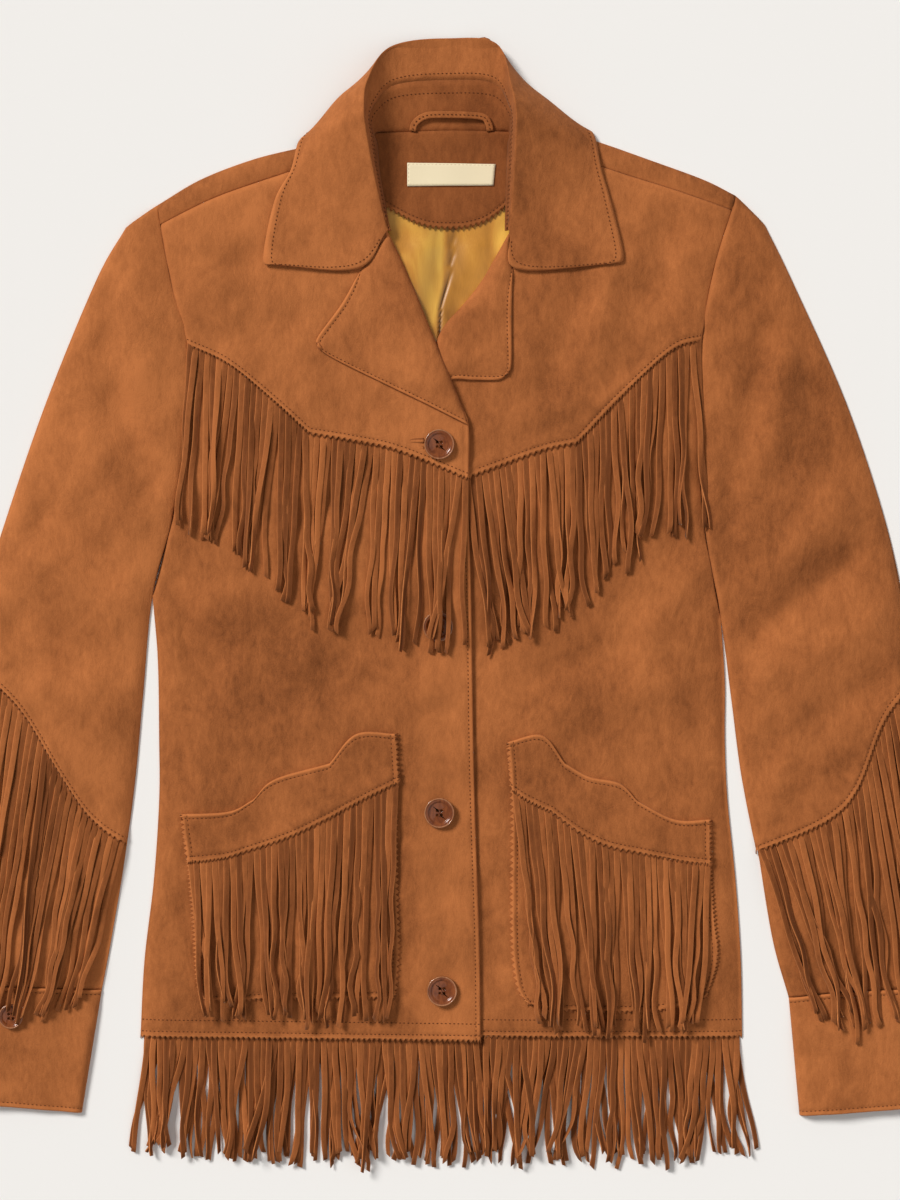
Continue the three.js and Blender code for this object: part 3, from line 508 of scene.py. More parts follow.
class Finish:
    """A material and the nodes that make it."""

    def __init__(self, name):
        self.material = bpy.data.materials.new(name)
        self.material.use_nodes = True
        self.tree = self.material.node_tree
        self.shader = self.tree.nodes["Principled BSDF"]

    def node(self, kind, settings=None, inputs=None, output=0):
        made = self.tree.nodes.new(kind)
        for key, value in (settings or {}).items():
            if key == "stops":
                self._stops(made.color_ramp, value)
            else:
                setattr(made, key, value)
        for key, value in (inputs or {}).items():
            self.feed(made.inputs[key], value)
        return Signal(self, made.outputs[output])

    def _stops(self, ramp, stops):
        while len(ramp.elements) < len(stops):
            ramp.elements.new(0.5)
        for element, (place, colour) in zip(ramp.elements, stops):
            element.position, element.color = place, colour

    def feed(self, socket, value):
        if isinstance(value, Signal):
            self.tree.links.new(value.socket, socket)
        else:
            socket.default_value = value

    def set(self, **values):
        for key, value in values.items():
            self.feed(self.shader.inputs[key.replace("_", " ")], value)

    def noise(self, where, scale, detail=2.0, roughness=0.5, distortion=0.0):
        sizes = {"Vector": where, "Scale": scale, "Detail": detail, "Roughness": roughness, "Distortion": distortion}
        return self.node("ShaderNodeTexNoise", {"noise_dimensions": "3D"}, sizes)

    def spread(self, where, scale, turn=(0, 0, 0)):
        return self.node("ShaderNodeMapping", {}, {"Vector": where, "Scale": scale, "Rotation": turn})

    def place(self):
        return self.node("ShaderNodeTexCoord", {}, {}, "Object")

    def attribute(self, name):
        return self.node("ShaderNodeAttribute", {"attribute_name": name}, {}, "Fac")

    def mix(self, amount, first, second):
        settings = {"data_type": "RGBA", "clamp_factor": True}
        return self.node("ShaderNodeMix", settings, {0: amount, 6: first, 7: second}, 2)

    def ramp(self, amount, stops):
        return self.node("ShaderNodeValToRGB", {"stops": stops}, {"Fac": amount})

    def bump(self, height, strength, distance):
        return self.node("ShaderNodeBump", {}, {"Height": height, "Strength": strength, "Distance": distance})


def suede_finish(name, dark, middle, light, worn, cloud_strength=1.0):
    """Napped suede: cloudy where the nap lies this way and that, worn lighter along its edges, and shifted by a tone
    attribute that holds random tone, painted light and painted shade.
    """
    f = Finish(name)
    where = f.place()
    clouds = f.noise(where, 11, 3.0, 0.55, 0.6)
    patches = f.noise(f.spread(where, (1.0, 0.6, 1.0), (0, 0, 0.5)), 52, 6.0, 0.68, 0.7)
    strokes = f.noise(f.spread(where, (1.0, 0.4, 1.0), (0, 0, -0.3)), 300, 4.0, 0.65)
    nap = f.noise(where, 1300, 2.0, 0.7)
    tone = 0.5 + (clouds - 0.5) * (0.95 * cloud_strength) + (patches - 0.5) * (0.8 * cloud_strength)
    # The tone attribute: random tone of pieces and strands, painted light on pieces toward the key light, and painted
    # shade in the buttonhole's slit.
    tone = tone + (strokes - 0.5) * 0.6 + (nap - 0.5) * 0.5 + (f.attribute("tint") - 0.5) * 1.2
    colour = f.ramp(tone, [(0.12, dark), (0.5, middle), (0.88, light)])
    colour = f.mix(f.attribute("rub") * 0.7, colour, worn)
    relief = nap * 0.5 + strokes * 0.6 + patches * 2.4
    f.set(
        Base_Color=colour,
        Roughness=0.86 + (nap - 0.5) * 0.2,
        Normal=f.bump(relief, 0.6, 0.0007),
        Sheen_Weight=0.08,
        Sheen_Roughness=0.5,
        Sheen_Tint=(1.0, 0.72, 0.5, 1.0),
        Specular_IOR_Level=0.12,
    )
    return f.material


def satin_finish(name, colour_dark, colour, colour_light):
    """Lining satin: smooth, with real gloss along its folds, long soft streaks of painted sheen and shade in its
    colour, and painted shade along its pleat.
    """
    f = Finish(name)
    where = f.place()
    # Painted sheen and shade: long streaks that run the colour from dark to light gold.
    drift = f.noise(f.spread(where, (1.0, 0.3, 1.0), (0, 0, 0.14)), 38, 2.0, 0.5, 0.6)
    threads = f.noise(f.spread(where, (1.0, 0.05, 1.0)), 2600, 1.0, 0.5)
    tone = drift + (threads - 0.5) * 0.1
    colour = f.ramp(tone, [(0.3, colour_dark), (0.5, colour), (0.7, colour_light)])
    f.set(
        # Painted shade: the colour darkens towards this brown where the points are marked as shaded, along the pleat.
        Base_Color=f.mix(f.attribute("rub"), colour, linear(84, 48, 8)),
        Roughness=0.36 + (threads - 0.5) * 0.1,
        Normal=f.bump(threads, 0.12, 0.0002),
        Sheen_Weight=0.3,
        Sheen_Roughness=0.3,
        Specular_IOR_Level=0.5,
    )
    return f.material


def tape_finish(name):
    """Woven label tape, bare, with fine ribs."""
    f = Finish(name)
    where = f.place()
    ribs = f.node("ShaderNodeTexWave", {"bands_direction": "X"}, {"Vector": where, "Scale": 620.0, "Distortion": 0.2})
    weft = f.node("ShaderNodeTexWave", {"bands_direction": "Y"}, {"Vector": where, "Scale": 780.0, "Distortion": 0.2})
    weave = ribs * 0.5 + weft * 0.5
    f.set(
        Base_Color=f.ramp(weave, [(0.0, linear(226, 208, 168)), (1.0, linear(244, 230, 196))]),
        Roughness=0.6,
        Normal=f.bump(weave, 0.25, 0.0002),
        Sheen_Weight=0.2,
    )
    return f.material


def button_finish(name, dark, light, roughness=0.2):
    """Polished plastic with the faint streaks of horn."""
    f = Finish(name)
    where = f.place()
    streaks = f.noise(f.spread(where, (1.0, 0.35, 1.0), (0, 0, 0.7)), 260, 3.0, 0.6, 1.2)
    f.set(
        Base_Color=f.ramp(streaks, [(0.3, dark), (0.75, light)]),
        Roughness=roughness,
        Coat_Weight=0.25,
        Coat_Roughness=0.08,
        Specular_IOR_Level=0.35,
    )
    return f.material


def plain_finish(name, dark, light, scale, roughness):
    """Thread, cut edges and the like: one colour, gently mottled."""
    f = Finish(name)
    mottle = f.noise(f.place(), scale, 2.0, 0.6)
    colour = f.ramp(mottle, [(0.3, dark), (0.7, light)])
    f.set(Base_Color=colour, Roughness=roughness, Specular_IOR_Level=0.15, Normal=f.bump(mottle, 0.2, 0.0003))
    return f.material


FINISHES = {}


# Each suede's dark, middle, light and worn shade, as strength and warmth, and how cloudy it is.
SUEDES = {
    "suede": ("napped_suede", (0.55, 0.95), (1.0, 1.0), (1.4, 1.04), (1.75, 1.05), 1.0),
    # The inner suede is the same suede made darker: painted shade for the inside of the collar stand and the neck
    # facing.
    "inner_suede": ("inner_suede", (0.42, 0.9), (0.72, 0.95), (1.02, 1.0), (1.35, 1.0), 0.9),
    "fringe_suede": ("fringe_suede", (0.42, 0.9), (0.72, 0.96), (1.12, 1.0), (1.9, 1.08), 0.6),
}


def make_finishes(look):
    """Fills the table of finishes. The suedes, cut edges and thread are shades of one colour."""
    red, green, blue = look.suede_colour

    def shade(strength, warmth=1.0):
        return (red * strength, green * strength * warmth, blue * strength * warmth * warmth, 1.0)

    for name, (material, *shades, cloudy) in SUEDES.items():
        FINISHES[name] = suede_finish(material, *(shade(*pair) for pair in shades), cloudy)
    FINISHES["cut_edge"] = plain_finish("cut_edge", shade(1.15, 1.08), shade(1.75, 1.14), 500, 0.9)
    FINISHES["thread"] = plain_finish("sewing_thread", shade(0.28, 0.85), shade(0.42, 0.9), 900, 0.6)
    # The satin's dark and light golds are its painted shade and painted sheen.
    FINISHES["satin"] = satin_finish(
        "lining_satin", linear(140, 88, 18), [*look.lining_colour, 1.0], linear(238, 184, 76))
    FINISHES["tape"] = tape_finish("label_tape")
    FINISHES["button"] = button_finish("button_plastic", linear(96, 44, 16), linear(142, 76, 36))
    # The rim's finish is the button plastic made lighter: a painted highlight, the ring of light round each button's
    # edge.
    FINISHES["button_painted_highlight_rim"] = button_finish("button_painted_highlight_rim", linear(140, 84, 50), linear(178, 122, 84), 0.14)


# ---------------------------------------------------------------- meshes


CLOTHS = {  # each finish's wall in mm, and its slot
    "suede": (1.2, "suede"),
    "inner_suede": (1.2, "inner_suede"),
    "fringe_suede": (1.0, "fringe_suede"),
    "satin": (0.6, "lining_satin"),
    "tape": (0.5, "label_tape"),
}
BEAD_LIFT = 0.12  # how far the middle of a stitch stands off its cloth
SHORTEST_STITCH = 0.3


def add_object(name, mesh, finishes):
    for finish in finishes:
        mesh.materials.append(FINISHES[finish])
    piece = bpy.data.objects.new(name, mesh)
    bpy.context.scene.collection.objects.link(piece)
    return piece


def lay_grid(bm, points, rub=None, tint=0.5):
    """Adds a sheet of faces over a grid of points in mm, keeping its edge wear and painted shade, and its tone and
    painted light.
    """
    rows, columns = points.shape[:2]
    wear_and_painted_shade_layer = bm.verts.layers.float.get("rub") or bm.verts.layers.float.new("rub")
    tone_and_painted_light_layer = bm.verts.layers.float.get("tint") or bm.verts.layers.float.new("tint")
    made = bmesh.ops.create_grid(bm, x_segments=columns - 1, y_segments=rows - 1, size=1.0)
    places = points * MM
    tint = np.broadcast_to(tint, points.shape[:2])
    for vert in made["verts"]:
        j = round((vert.co.x + 1) * 0.5 * (columns - 1))
        i = round((vert.co.y + 1) * 0.5 * (rows - 1))
        vert.co = places[i, j]
        vert[wear_and_painted_shade_layer] = 0.0 if rub is None else float(rub[i, j])
        vert[tone_and_painted_light_layer] = float(tint[i, j])


def make_mesh(name, bm):
    mesh = bpy.data.meshes.new(name)
    bm.to_mesh(mesh)
    bm.free()
    mesh.polygons.foreach_set("use_smooth", [True] * len(mesh.polygons))
    return mesh


def ride(piece):
    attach(piece, "root")
    return piece


def stands_for(piece, node):
    ride(piece)
    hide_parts(node)
    return piece


def walled(name, bm, finish, node, thickness=None):
    """Makes a sheet a piece: a wall downwards from its outer face, with raw edges of their own finish."""
    usual, slot = CLOTHS[finish]
    piece = add_object(name, make_mesh(name, bm), [finish, "cut_edge"])
    wall = piece.modifiers.new("wall", "SOLIDIFY")
    wall.thickness = (thickness or usual) * MM
    wall.offset = -1.0
    wall.use_even_offset = False
    wall.use_quality_normals = True
    wall.material_offset_rim = 1
    return stands_for(piece, node)


def sheet_of(name, grids, finish, node, thickness=None):
    """One piece over grids of points, each with its wear and painted shade, and its tone and painted light."""
    bm = bmesh.new()
    for grid in grids:
        lay_grid(bm, *grid)
    return walled(name, bm, finish, node, thickness)


def cloth(name, shapes, finish, node, tint=0.5):
    """One cut piece, of one or more laid stretches, with one tone for the piece: tone that differs from hide to hide,
    and painted light, set lighter on pieces toward the key light.
    """
    return sheet_of(name, [shape.grid(tint) for shape in shapes], finish, node)


def stitches(name, lines, length=2.2, gap=1.5, radius=0.32, finish="thread"):
    """Rows of small thread beads along lines on the cloth, as one piece."""
    bm = bmesh.new()
    for line in lines:
        total = line_length(line)
        count = max(1, int(total / (length + gap)))
        starts = (np.arange(count) + 0.2) / count
        heads = at_shares(line, starts)
        tails = at_shares(line, np.minimum(1, starts + length / total))
        for head, tail in zip(heads, tails):
            middle = Vector((head + tail) / 2) * MM
            along = Vector(tail - head)
            if along.length < SHORTEST_STITCH:
                continue
            turn = along.to_track_quat("X", "Z").to_matrix().to_4x4()
            stretch = Matrix.Diagonal((along.length * 0.5 * MM, radius * MM, radius * 0.8 * MM, 1.0))
            place = Matrix.Translation(middle + Vector((0, 0, BEAD_LIFT * MM))) @ turn @ stretch
            bmesh.ops.create_icosphere(bm, subdivisions=1, radius=1.0, matrix=place)
    return ride(add_object(name, make_mesh(name, bm), [finish]))


def sewn(name, lines):
    """Rows of the jacket's own topstitching."""
    length = bpy.context.scene.jacket_look.stitch_length / MM
    return stitches(name, lines, length, 1.4, 0.42)


# ---------------------------------------------------------------- fringe


class Pile:
    """How high cloth and strands already lie, on a fine grid over the jacket."""

    STEP = 1.5

    def __init__(self, height, low, high):
        self.low = np.array(low, float)
        x, y = (np.arange(low[k], high[k], self.STEP) for k in range(2))
        self.top = height(*np.meshgrid(x, y, indexing="ij"))
        self.floor = self.top.copy()

    def rest_on(self, node):
        """Puts a button in the way of the strands."""
        low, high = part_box(node)
        x, y, _ = button_seat(node)
        spots = np.indices(self.top.shape)
        away = np.hypot(self.low[0] + spots[0] * self.STEP - x, self.low[1] + spots[1] * self.STEP - y)
        covered = away < (high[0] - low[0]) / 2 / MM
        self.top[covered] = np.maximum(self.top[covered], high[2] / MM)
        return self

    def cells(self, points):
        spots = ((points - self.low) / self.STEP).round().astype(int)
        return tuple(np.clip(spots, 0, np.array(self.top.shape) - 1).T)

    def lay(self, tracks, thickness):
        """Lays a strand, given as side-by-side tracks, and returns the height of its middle."""
        under = np.max([self.top[self.cells(track)] for track in tracks], axis=0)
        wide = np.max([np.roll(np.pad(under, 4, mode="edge"), k)[4:-4] for k in range(-3, 4)], axis=0)
        soft = np.convolve(np.pad(wide, 4, mode="edge"), np.ones(9) / 9, mode="valid")
        level = np.maximum(soft, under) + thickness / 2
        for track in tracks:
            np.maximum.at(self.top, self.cells(track), level + thickness / 2)
        return level


STRAND_SECTION = np.array([-1.0, -0.72, 0.0, 0.72, 1.0])
STRAND_CAMBER = np.array([-0.22, -0.03, 0.12, -0.03, -0.22])
STRAND_WEAR = np.array([1.0, 0.12, 0.0, 0.12, 1.0])
STRAND_WALL = CLOTHS["fringe_suede"][0]
HEADER = 11  # how far the strap goes before the cuts begin


def strand_pitch():
    return bpy.context.scene.jacket_look.strand_pitch / MM


def lay_strand(bm, rng, start, end, pile, pitch, swing, wave, sway, rows, crimped, tone):
    """One strand from its root to its tip: its course, its twist, and its height on the pile."""
    length = float(np.linalg.norm(end - start))
    s = np.linspace(0, 1, max(24, int(length / 2)))
    free = np.clip((s * length - HEADER) / (length - HEADER), 0, 1) ** 1.25
    side = np.array([end[1] - start[1], start[0] - end[0]]) / length
    swing = sway * swing[0] * 0.6 + rng.normal(0, sway * 0.42) + swing[1]
    bow = rng.normal(0, sway * 0.4) * np.sin(math.pi * s)
    crimp = rng.uniform(0.7, crimped) * np.sin(s * length / rng.uniform(5.5, 17) + rng.uniform(0, math.tau))
    shared = 0.28 * crimped * np.sin(s * length / 12 + wave[0] + wave[1])
    centre = start + (end - start) * s[:, None] + side * (free * (swing + (bow + crimp + shared)))[:, None]
    ahead = np.gradient(centre, axis=0)
    across = np.stack([-ahead[:, 1], ahead[:, 0]], axis=1) / np.linalg.norm(ahead, axis=1)[:, None]
    half = pitch * (0.51 - rng.uniform(0.05, 0.17) * free)
    turned = rng.uniform(0.15, 0.5) if rng.random() < 0.5 else rng.uniform(0.7, 1.4)
    twist = turned * np.sin(s * rng.uniform(2.5, 6.5) + rng.uniform(0, math.tau)) * free**0.6
    tracks = [centre + across * (half * share)[:, None] for share in (-0.6, 0.0, 0.6)]
    level = pile.lay(tracks, STRAND_WALL) + STRAND_WALL / 2 + 0.75 * half * np.abs(np.sin(twist))
    level = level + rng.uniform(0, 1.5) * free
    head = pile.floor[pile.cells(centre)] + STRAND_WALL + 0.1
    level = np.minimum(level, head + 12 * ease(HEADER * 0.6, HEADER * 2.5, s * length))
    pick = np.linspace(0, len(s) - 1, rows).round().astype(int)
    reach = STRAND_SECTION[None, :] * half[pick, None]
    plan = centre[pick, None, :] + across[pick, None, :] * (reach * np.cos(twist[pick, None]))[..., None]
    slant = rng.uniform(-1.6, 1.6)
    plan[-1] += (end - start)[None, :] / length * (STRAND_SECTION * slant)[:, None]
    z = level[pick, None] + reach * np.sin(twist[pick, None]) + STRAND_CAMBER[None, :]
    points = np.dstack([plan, z])[:, ::-1]
    lay_grid(bm, points, np.tile(STRAND_WEAR, (rows, 1)), float(np.clip(rng.normal(tone, 0.17), 0, 1)))


def fringe(name, node, roots, tips, pile, seed,
           sway=5.0, rows=19, ragged=4.0, crimped=2.2, gathered=0.4, tone=0.46):
    """Strips cut side by side from one strap, swaying apart below its uncut head."""
    rng = np.random.default_rng(seed)
    pitch = strand_pitch()
    even = np.linspace(0, 1, 200)
    roots, tips = at_shares(smooth_line(roots), even), at_shares(smooth_line(tips), even)
    hang = (tips - roots) / np.linalg.norm(tips - roots, axis=1)[:, None]
    step = np.diff(roots, axis=0)
    width = np.concatenate([[0], np.cumsum(np.abs(step[:, 0] * hang[1:, 1] - step[:, 1] * hang[1:, 0]))])
    count = round(width[-1] / pitch)
    places = (np.arange(count) + 0.5) / count * width[-1]
    starts, ends = (np.stack([np.interp(places, width, line[:, k]) for k in range(2)], axis=1)
                    for line in (roots, tips))
    shares = (np.arange(count) + 0.5) / count
    gather = np.concatenate([np.arange(n) - (n - 1) / 2 for n in rng.integers(3, 8, count)])[:count]
    gather = gather * pitch * gathered
    drift = rng.uniform(0, math.tau, 4)
    lean = np.sin(shares * count * 0.31 + drift[0]) + 0.8 * np.sin(shares * count * 0.83 + drift[1])
    bm = bmesh.new()
    for k in rng.permutation(count):
        end = ends[k] + rng.normal(0, ragged, 2) * (0.6, 1.0)
        lay_strand(bm, rng, starts[k], end, pile, pitch, (lean[k], gather[k]), (0.6 * k, drift[2]),
                   sway, rows, crimped, tone)
    bmesh.ops.recalc_face_normals(bm, faces=bm.faces)
    for face in bm.faces:
        if face.normal.z < 0 and abs(face.normal.z) > 0.2:
            face.normal_flip()
    return walled(name, bm, "fringe_suede", node)


def shifted(points, dx=0.0, dy=0.0):
    return [(x + dx, y + dy) for x, y in points]


def joined(stretches):
    """One line from several that follow each other."""
    return [point for k, stretch in enumerate(stretches) for point in stretch[1 if k else 0:]]


# ---------------------------------------------------------------- the pieces of the jacket


def hem_height(x, y):
    root = np.maximum(0.2, body_height(x, np.full(np.shape(x), HEM + 3.0)) - 3.1)
    return 0.05 + root * (1 - ease(0, 50, HEM - y))


HEM_PILE = Pile(lambda x, y: np.full(np.shape(x), 0.05), (-260, -435), (250, -300))


def hem_places():
    x = HEM_PILE.low[0] + np.arange(HEM_PILE.top.shape[0]) * Pile.STEP
    y = HEM_PILE.low[1] + np.arange(HEM_PILE.top.shape[1]) * Pile.STEP
    return np.meshgrid(x, y, indexing="ij")


def build_back():
    """The back's wall on the table, and the parts of it that come over the shoulders."""
    shoulder_line = [*SHOULDER_EDGE["right"], (-60, 349), (0, 348), (60, 349), *SHOULDER_EDGE["left"]]
    under = Piece(
        [[(-232, HEM), (0, HEM), (219, HEM)]], [shoulder_line],
        [SIDE_SEAM["right"], *ARMHOLE["right"]], [SIDE_SEAM["left"], *ARMHOLE["left"]],
        {"bottom": "stitched"}, step=5.5)

    def under_height(x, y):
        below_neck = bell(x, 0, 70) * ease(100, 160, y)
        inside = ease(0, 30, distance_to(BODY_OUTLINE, x, y))
        return 1.2 + 0.28 * np.abs(waves(x, y, 21)) * (1 - below_neck) * inside

    under.lay(under_height)
    under.face_down = True
    under.z = np.clip(under.z - 1.15, 0.05, 1.2)
    shapes = [under]
    for side in SIDES:
        seam = SHOULDER_SEAM[side]
        edge = SHOULDER_EDGE[side]
        ends = ([seam[0], edge[0]], [seam[-1], edge[-1]])
        over_shoulder = Piece([seam], [edge], [ends[0]], [ends[1]], {"top": "fold", "bottom": "seam"}, step=4)
        shapes.append(over_shoulder.lay(body_height, 0.3).finish_edges())
    return shapes


class JacketLook(bpy.types.PropertyGroup):
    """Colours and sizes that a maker would change."""

    suede_colour: bpy.props.FloatVectorProperty(
        name="Suede colour", description="Colour of the brushed suede", subtype="COLOR",
        size=3, min=0, max=1, default=(0.335, 0.105, 0.029))
    lining_colour: bpy.props.FloatVectorProperty(
        name="Lining colour", description="Colour of the satin lining", subtype="COLOR",
        size=3, min=0, max=1, default=(0.55, 0.235, 0.028))
    strand_pitch: bpy.props.FloatProperty(
        name="Strand width", description="Distance between the cuts of the fringe",
        default=4.5 * MM, min=2 * MM, max=12 * MM, unit="LENGTH")
    stitch_length: bpy.props.FloatProperty(
        name="Stitch length", description="Length of one stitch of the topstitching",
        default=1.7 * MM, min=0.5 * MM, max=6 * MM, unit="LENGTH")
    key_power: bpy.props.FloatProperty(
        name="Key light", description="Strength of the large soft light", default=3.2, min=0)


class JACKET_OT_finishes(bpy.types.Operator):
    """Make the suedes, satin, tape, plastic and thread"""

    bl_idname = "jacket.finishes"
    bl_label = "Finishes"

    def execute(self, context):
        make_finishes(context.scene.jacket_look)
        return {"FINISHED"}


class JACKET_OT_back(bpy.types.Operator):
    """Lay the back with its hem fringe"""

    bl_idname = "jacket.back"
    bl_label = "Back"

    def execute(self, context):
        shapes = build_back()
        back = cloth("back", shapes, "suede", "back_body")
        strands = fringe(
            "back_hem_fringe", "hem_fringe_back", [(-229, HEM + 3), (0, HEM + 3), (216, HEM + 3)],
            [(-236, -412), (-112, -418), (112, -418), (222, -411)],
            HEM_PILE, 5, sway=9, crimped=2.6, gathered=0.5, tone=0.3)
        return {"FINISHED"}


PLEAT = {"y": (178, 191, 218, 244, 278, 320), "x": (-11, -9, -8, -2, 2, 2)}
LABEL_ROW = 0.9  # from the label's edge in to its stitches
LOOP_HALF_WIDTH = 2.5


def pleat_line(y):
    return np.interp(y, PLEAT["y"], PLEAT["x"])


def satin_height(x, y):
    """The satin, with its pleat and its folds, sinking under the neck facing."""
    seen = 1 - ease(262, 278, y)
    d = x - pleat_line(y)
    step = 0.9 * (1 - ease(-0.5, 0.4, d)) - 1.9 * bell(d, 0.8, 0.9)
    folds = 0.8 * np.sin((x * 0.8 + y * 0.55) / 7.5) * bell(x, 20, 20) + 0.5 * np.sin((x - 0.5 * y) / 6.4)
    return 2.7 + seen * (1.4 + step + folds + 0.3 * waves(x, y, 4))


def neck_height(x, y):
    return 5.0 + 0.25 * waves(x, y, 6) + 1.2 * ease(325, 350, y)


class JACKET_OT_lining(bpy.types.Operator):
    """Lay the satin lining, the neck facing, the bare label and the hanger loop"""

    bl_idname = "jacket.lining"
    bl_label = "Lining and neck"

    def execute(self, context):
        satin = Piece(
            [[(-36, 148), (-30, 146), (-22, 148)]], [[(-68, 306), (0, 306), (60, 306)]],
            [[(-36, 148), (-44, 200), (-62, 250), (-68, 306)]],
            [[(-22, 148), (4, 196), (24, 222), (40, 244), (58, 276), (60, 306)]], {}, step=1.6)
        satin.lay(satin_height)
        satin.z = np.maximum(satin.z, 2.0)
        x, y = satin.plan[..., 0], satin.plan[..., 1]
        # Painted shade: the satin is darker in the pleat's crease and in a band to the left of the pleat.
        painted_crease_shade = bell(x - pleat_line(y), 0.8, 0.9) * (1 - 0.55 * ease(225, 262, y))
        satin.rub = np.clip(painted_crease_shade + 0.4 * bell(x - pleat_line(y), -12, 9), 0, 1)
        cloth("lining", [satin], "satin", "back_lining")

        facing = Piece(
            [FACING_EDGE], [[(-58, 349), (0, 351), (46, 350)]],
            [[(-57, 303), (-60, 326), (-58, 349)]], [[(50, 303), (52, 326), (46, 350)]],
            {"bottom": "pinked"}, step=2.0)
        facing.lay(neck_height).finish_edges()
        # The neck facing's darker inner suede is painted shade.
        cloth("neck_facing", [facing], "inner_suede", "back_neck_facing")

        tape = Piece(
            [[(-32, 309.5), (32.5, 310)]], [[(-32, 327), (34, 326)]],
            [[(-32, 309.5), (-32, 327)]], [[(32.5, 310), (34, 326)]], {}, step=2.2)
        tape.lay(lambda x, y: 5.9 + 0.25 * waves(x, y, 6) + 1.2 * ease(325, 350, y) + 0.25 * bell(x, 3, 16))
        cloth("label", [tape], "tape", "neck_label")

        route = smooth_line([(-28, 350.5), (-26.5, 356), (-20, 361), (-10, 362.5), (22, 361.5), (28.5, 356.5),
                             (30, 350.5)])
        shares = np.linspace(0, 1, 44)
        middle = at_shares(route, shares)
        ahead = np.gradient(middle, axis=0)
        across = np.stack([-ahead[:, 1], ahead[:, 0]], axis=1) / np.linalg.norm(ahead, axis=1)[:, None]
        rise = 7.6 + 1.2 * np.sin(shares * math.pi)
        offsets = (LOOP_HALF_WIDTH, 1.6, 0, -1.6, -LOOP_HALF_WIDTH)
        strap = np.stack([np.column_stack([middle + across * offset, rise]) for offset in offsets])
        outer_first = strap[0, 20, 1] > strap[-1, 20, 1]
        loop = sheet_of("loop", [(strap[::-1] if outer_first else strap,)], "suede", "hanger_loop")
        length = line_length(middle) * MM
        sewn("neck_stitches", [facing.row("bottom", PINKED_ROW), strap[2] + (0, 0, 0.2)])
        hems = [tape.row(side, LABEL_ROW) for side in ("bottom", "top", "left", "right")]
        stitches("label_stitches", hems, 1.6, 1.2, 0.2, "tape")
        return {"FINISHED"}


ROLL_START = 133  # where the front edge ends and the lapel begins to roll


def lay_welt():
    """The two lips of the first buttonhole, with painted shade: dark in the slit between them and round their border,
    and lighter on the tops of the lips.
    """
    x, y = np.meshgrid(np.linspace(-31, -19.5, 14), np.linspace(110.6, 121.2, 23))
    lips = np.cos((y - 115.9) / 5.3 * math.pi) * -0.5 + 0.5
    lips = np.sin(np.clip(lips, 0, 1) * math.pi) ** 0.6 * ease(-31, -29.6, x)
    points = np.dstack([x, y, front_height("right")(x, y) + LAYER - 0.1 + 1.3 * lips])
    # Painted shade: the tone goes dark in the slit and round the border.
    welt = sheet_of("welt", [(points, 0.5 * lips**3, -0.6 + 1.15 * lips)], "suede", "buttonhole_welt", 1.0)


class JACKET_OT_fronts(bpy.types.Operator):
    """Lay the two fronts, the right over the left, with their hem fringes"""

    bl_idname = "jacket.fronts"
    bl_label = "Fronts"

    def execute(self, context):
        HEM_PILE.top = np.maximum(HEM_PILE.top, hem_height(*hem_places()))
        HEM_PILE.floor = HEM_PILE.top.copy()
        for side, seed in (("left", 31), ("right", 32)):
            opening = FRONT_EDGE if side == "right" else HIDDEN_FRONT_EDGE
            inner = [opening, ROLL_LINE[side], NECK_EDGE[side]]
            outer = [SIDE_SEAM[side], *ARMHOLE[side][:2]]
            hem = [outer[0][0], opening[0]] if side == "right" else [opening[0], outer[0][0]]
            left, right = (outer, inner) if side == "right" else (inner, outer)
            kinds = {"bottom": "pinked", "top": "seam", "left": "seam", "right": "seam"}
            kinds[side] = "stitched"
            front = Piece([hem], [SHOULDER_SEAM[side]], left, right, kinds, step=1.55, side_step=3.2)
            front.lay(front_height(side)).lift("bottom", 0.5).finish_edges()
            if side == "right":
                x, y = front.plan[..., 0], front.plan[..., 1]
                placket = ease(-30, -18, x) * (1 - ease(90, 112, y))
                front.rub = np.maximum(front.rub, 0.32 * placket)
            piece = cloth(f"{side}_front", [front], "suede", f"front_{side}", 0.48)
            x0, x1 = (-228, 21) if side == "right" else (26, 217)
            tips = [(x0 - 7, -411), (x0 + 60, -416), (x1 - 60, -419), (x1 + 3, -414)]
            roots = [(x0, HEM + 4), ((x0 + x1) / 2, HEM + 4), (x1, HEM + 4)]
            strands = fringe(f"{side}_hem_fringe", f"hem_fringe_front_{side}", roots, tips, HEM_PILE, seed,
                             sway=9, crimped=2.8, gathered=0.6, tone=0.38)
            lines = [front.row("bottom", PINKED_ROW), front.row("bottom", 13)]
            if side == "right":
                edge = front.row("right", STITCH_ROW)
                lines.append(edge[edge[:, 1] < ROLL_START])
                lay_welt()
            sewn(f"{side}_front_stitches", lines)
        return {"FINISHED"}


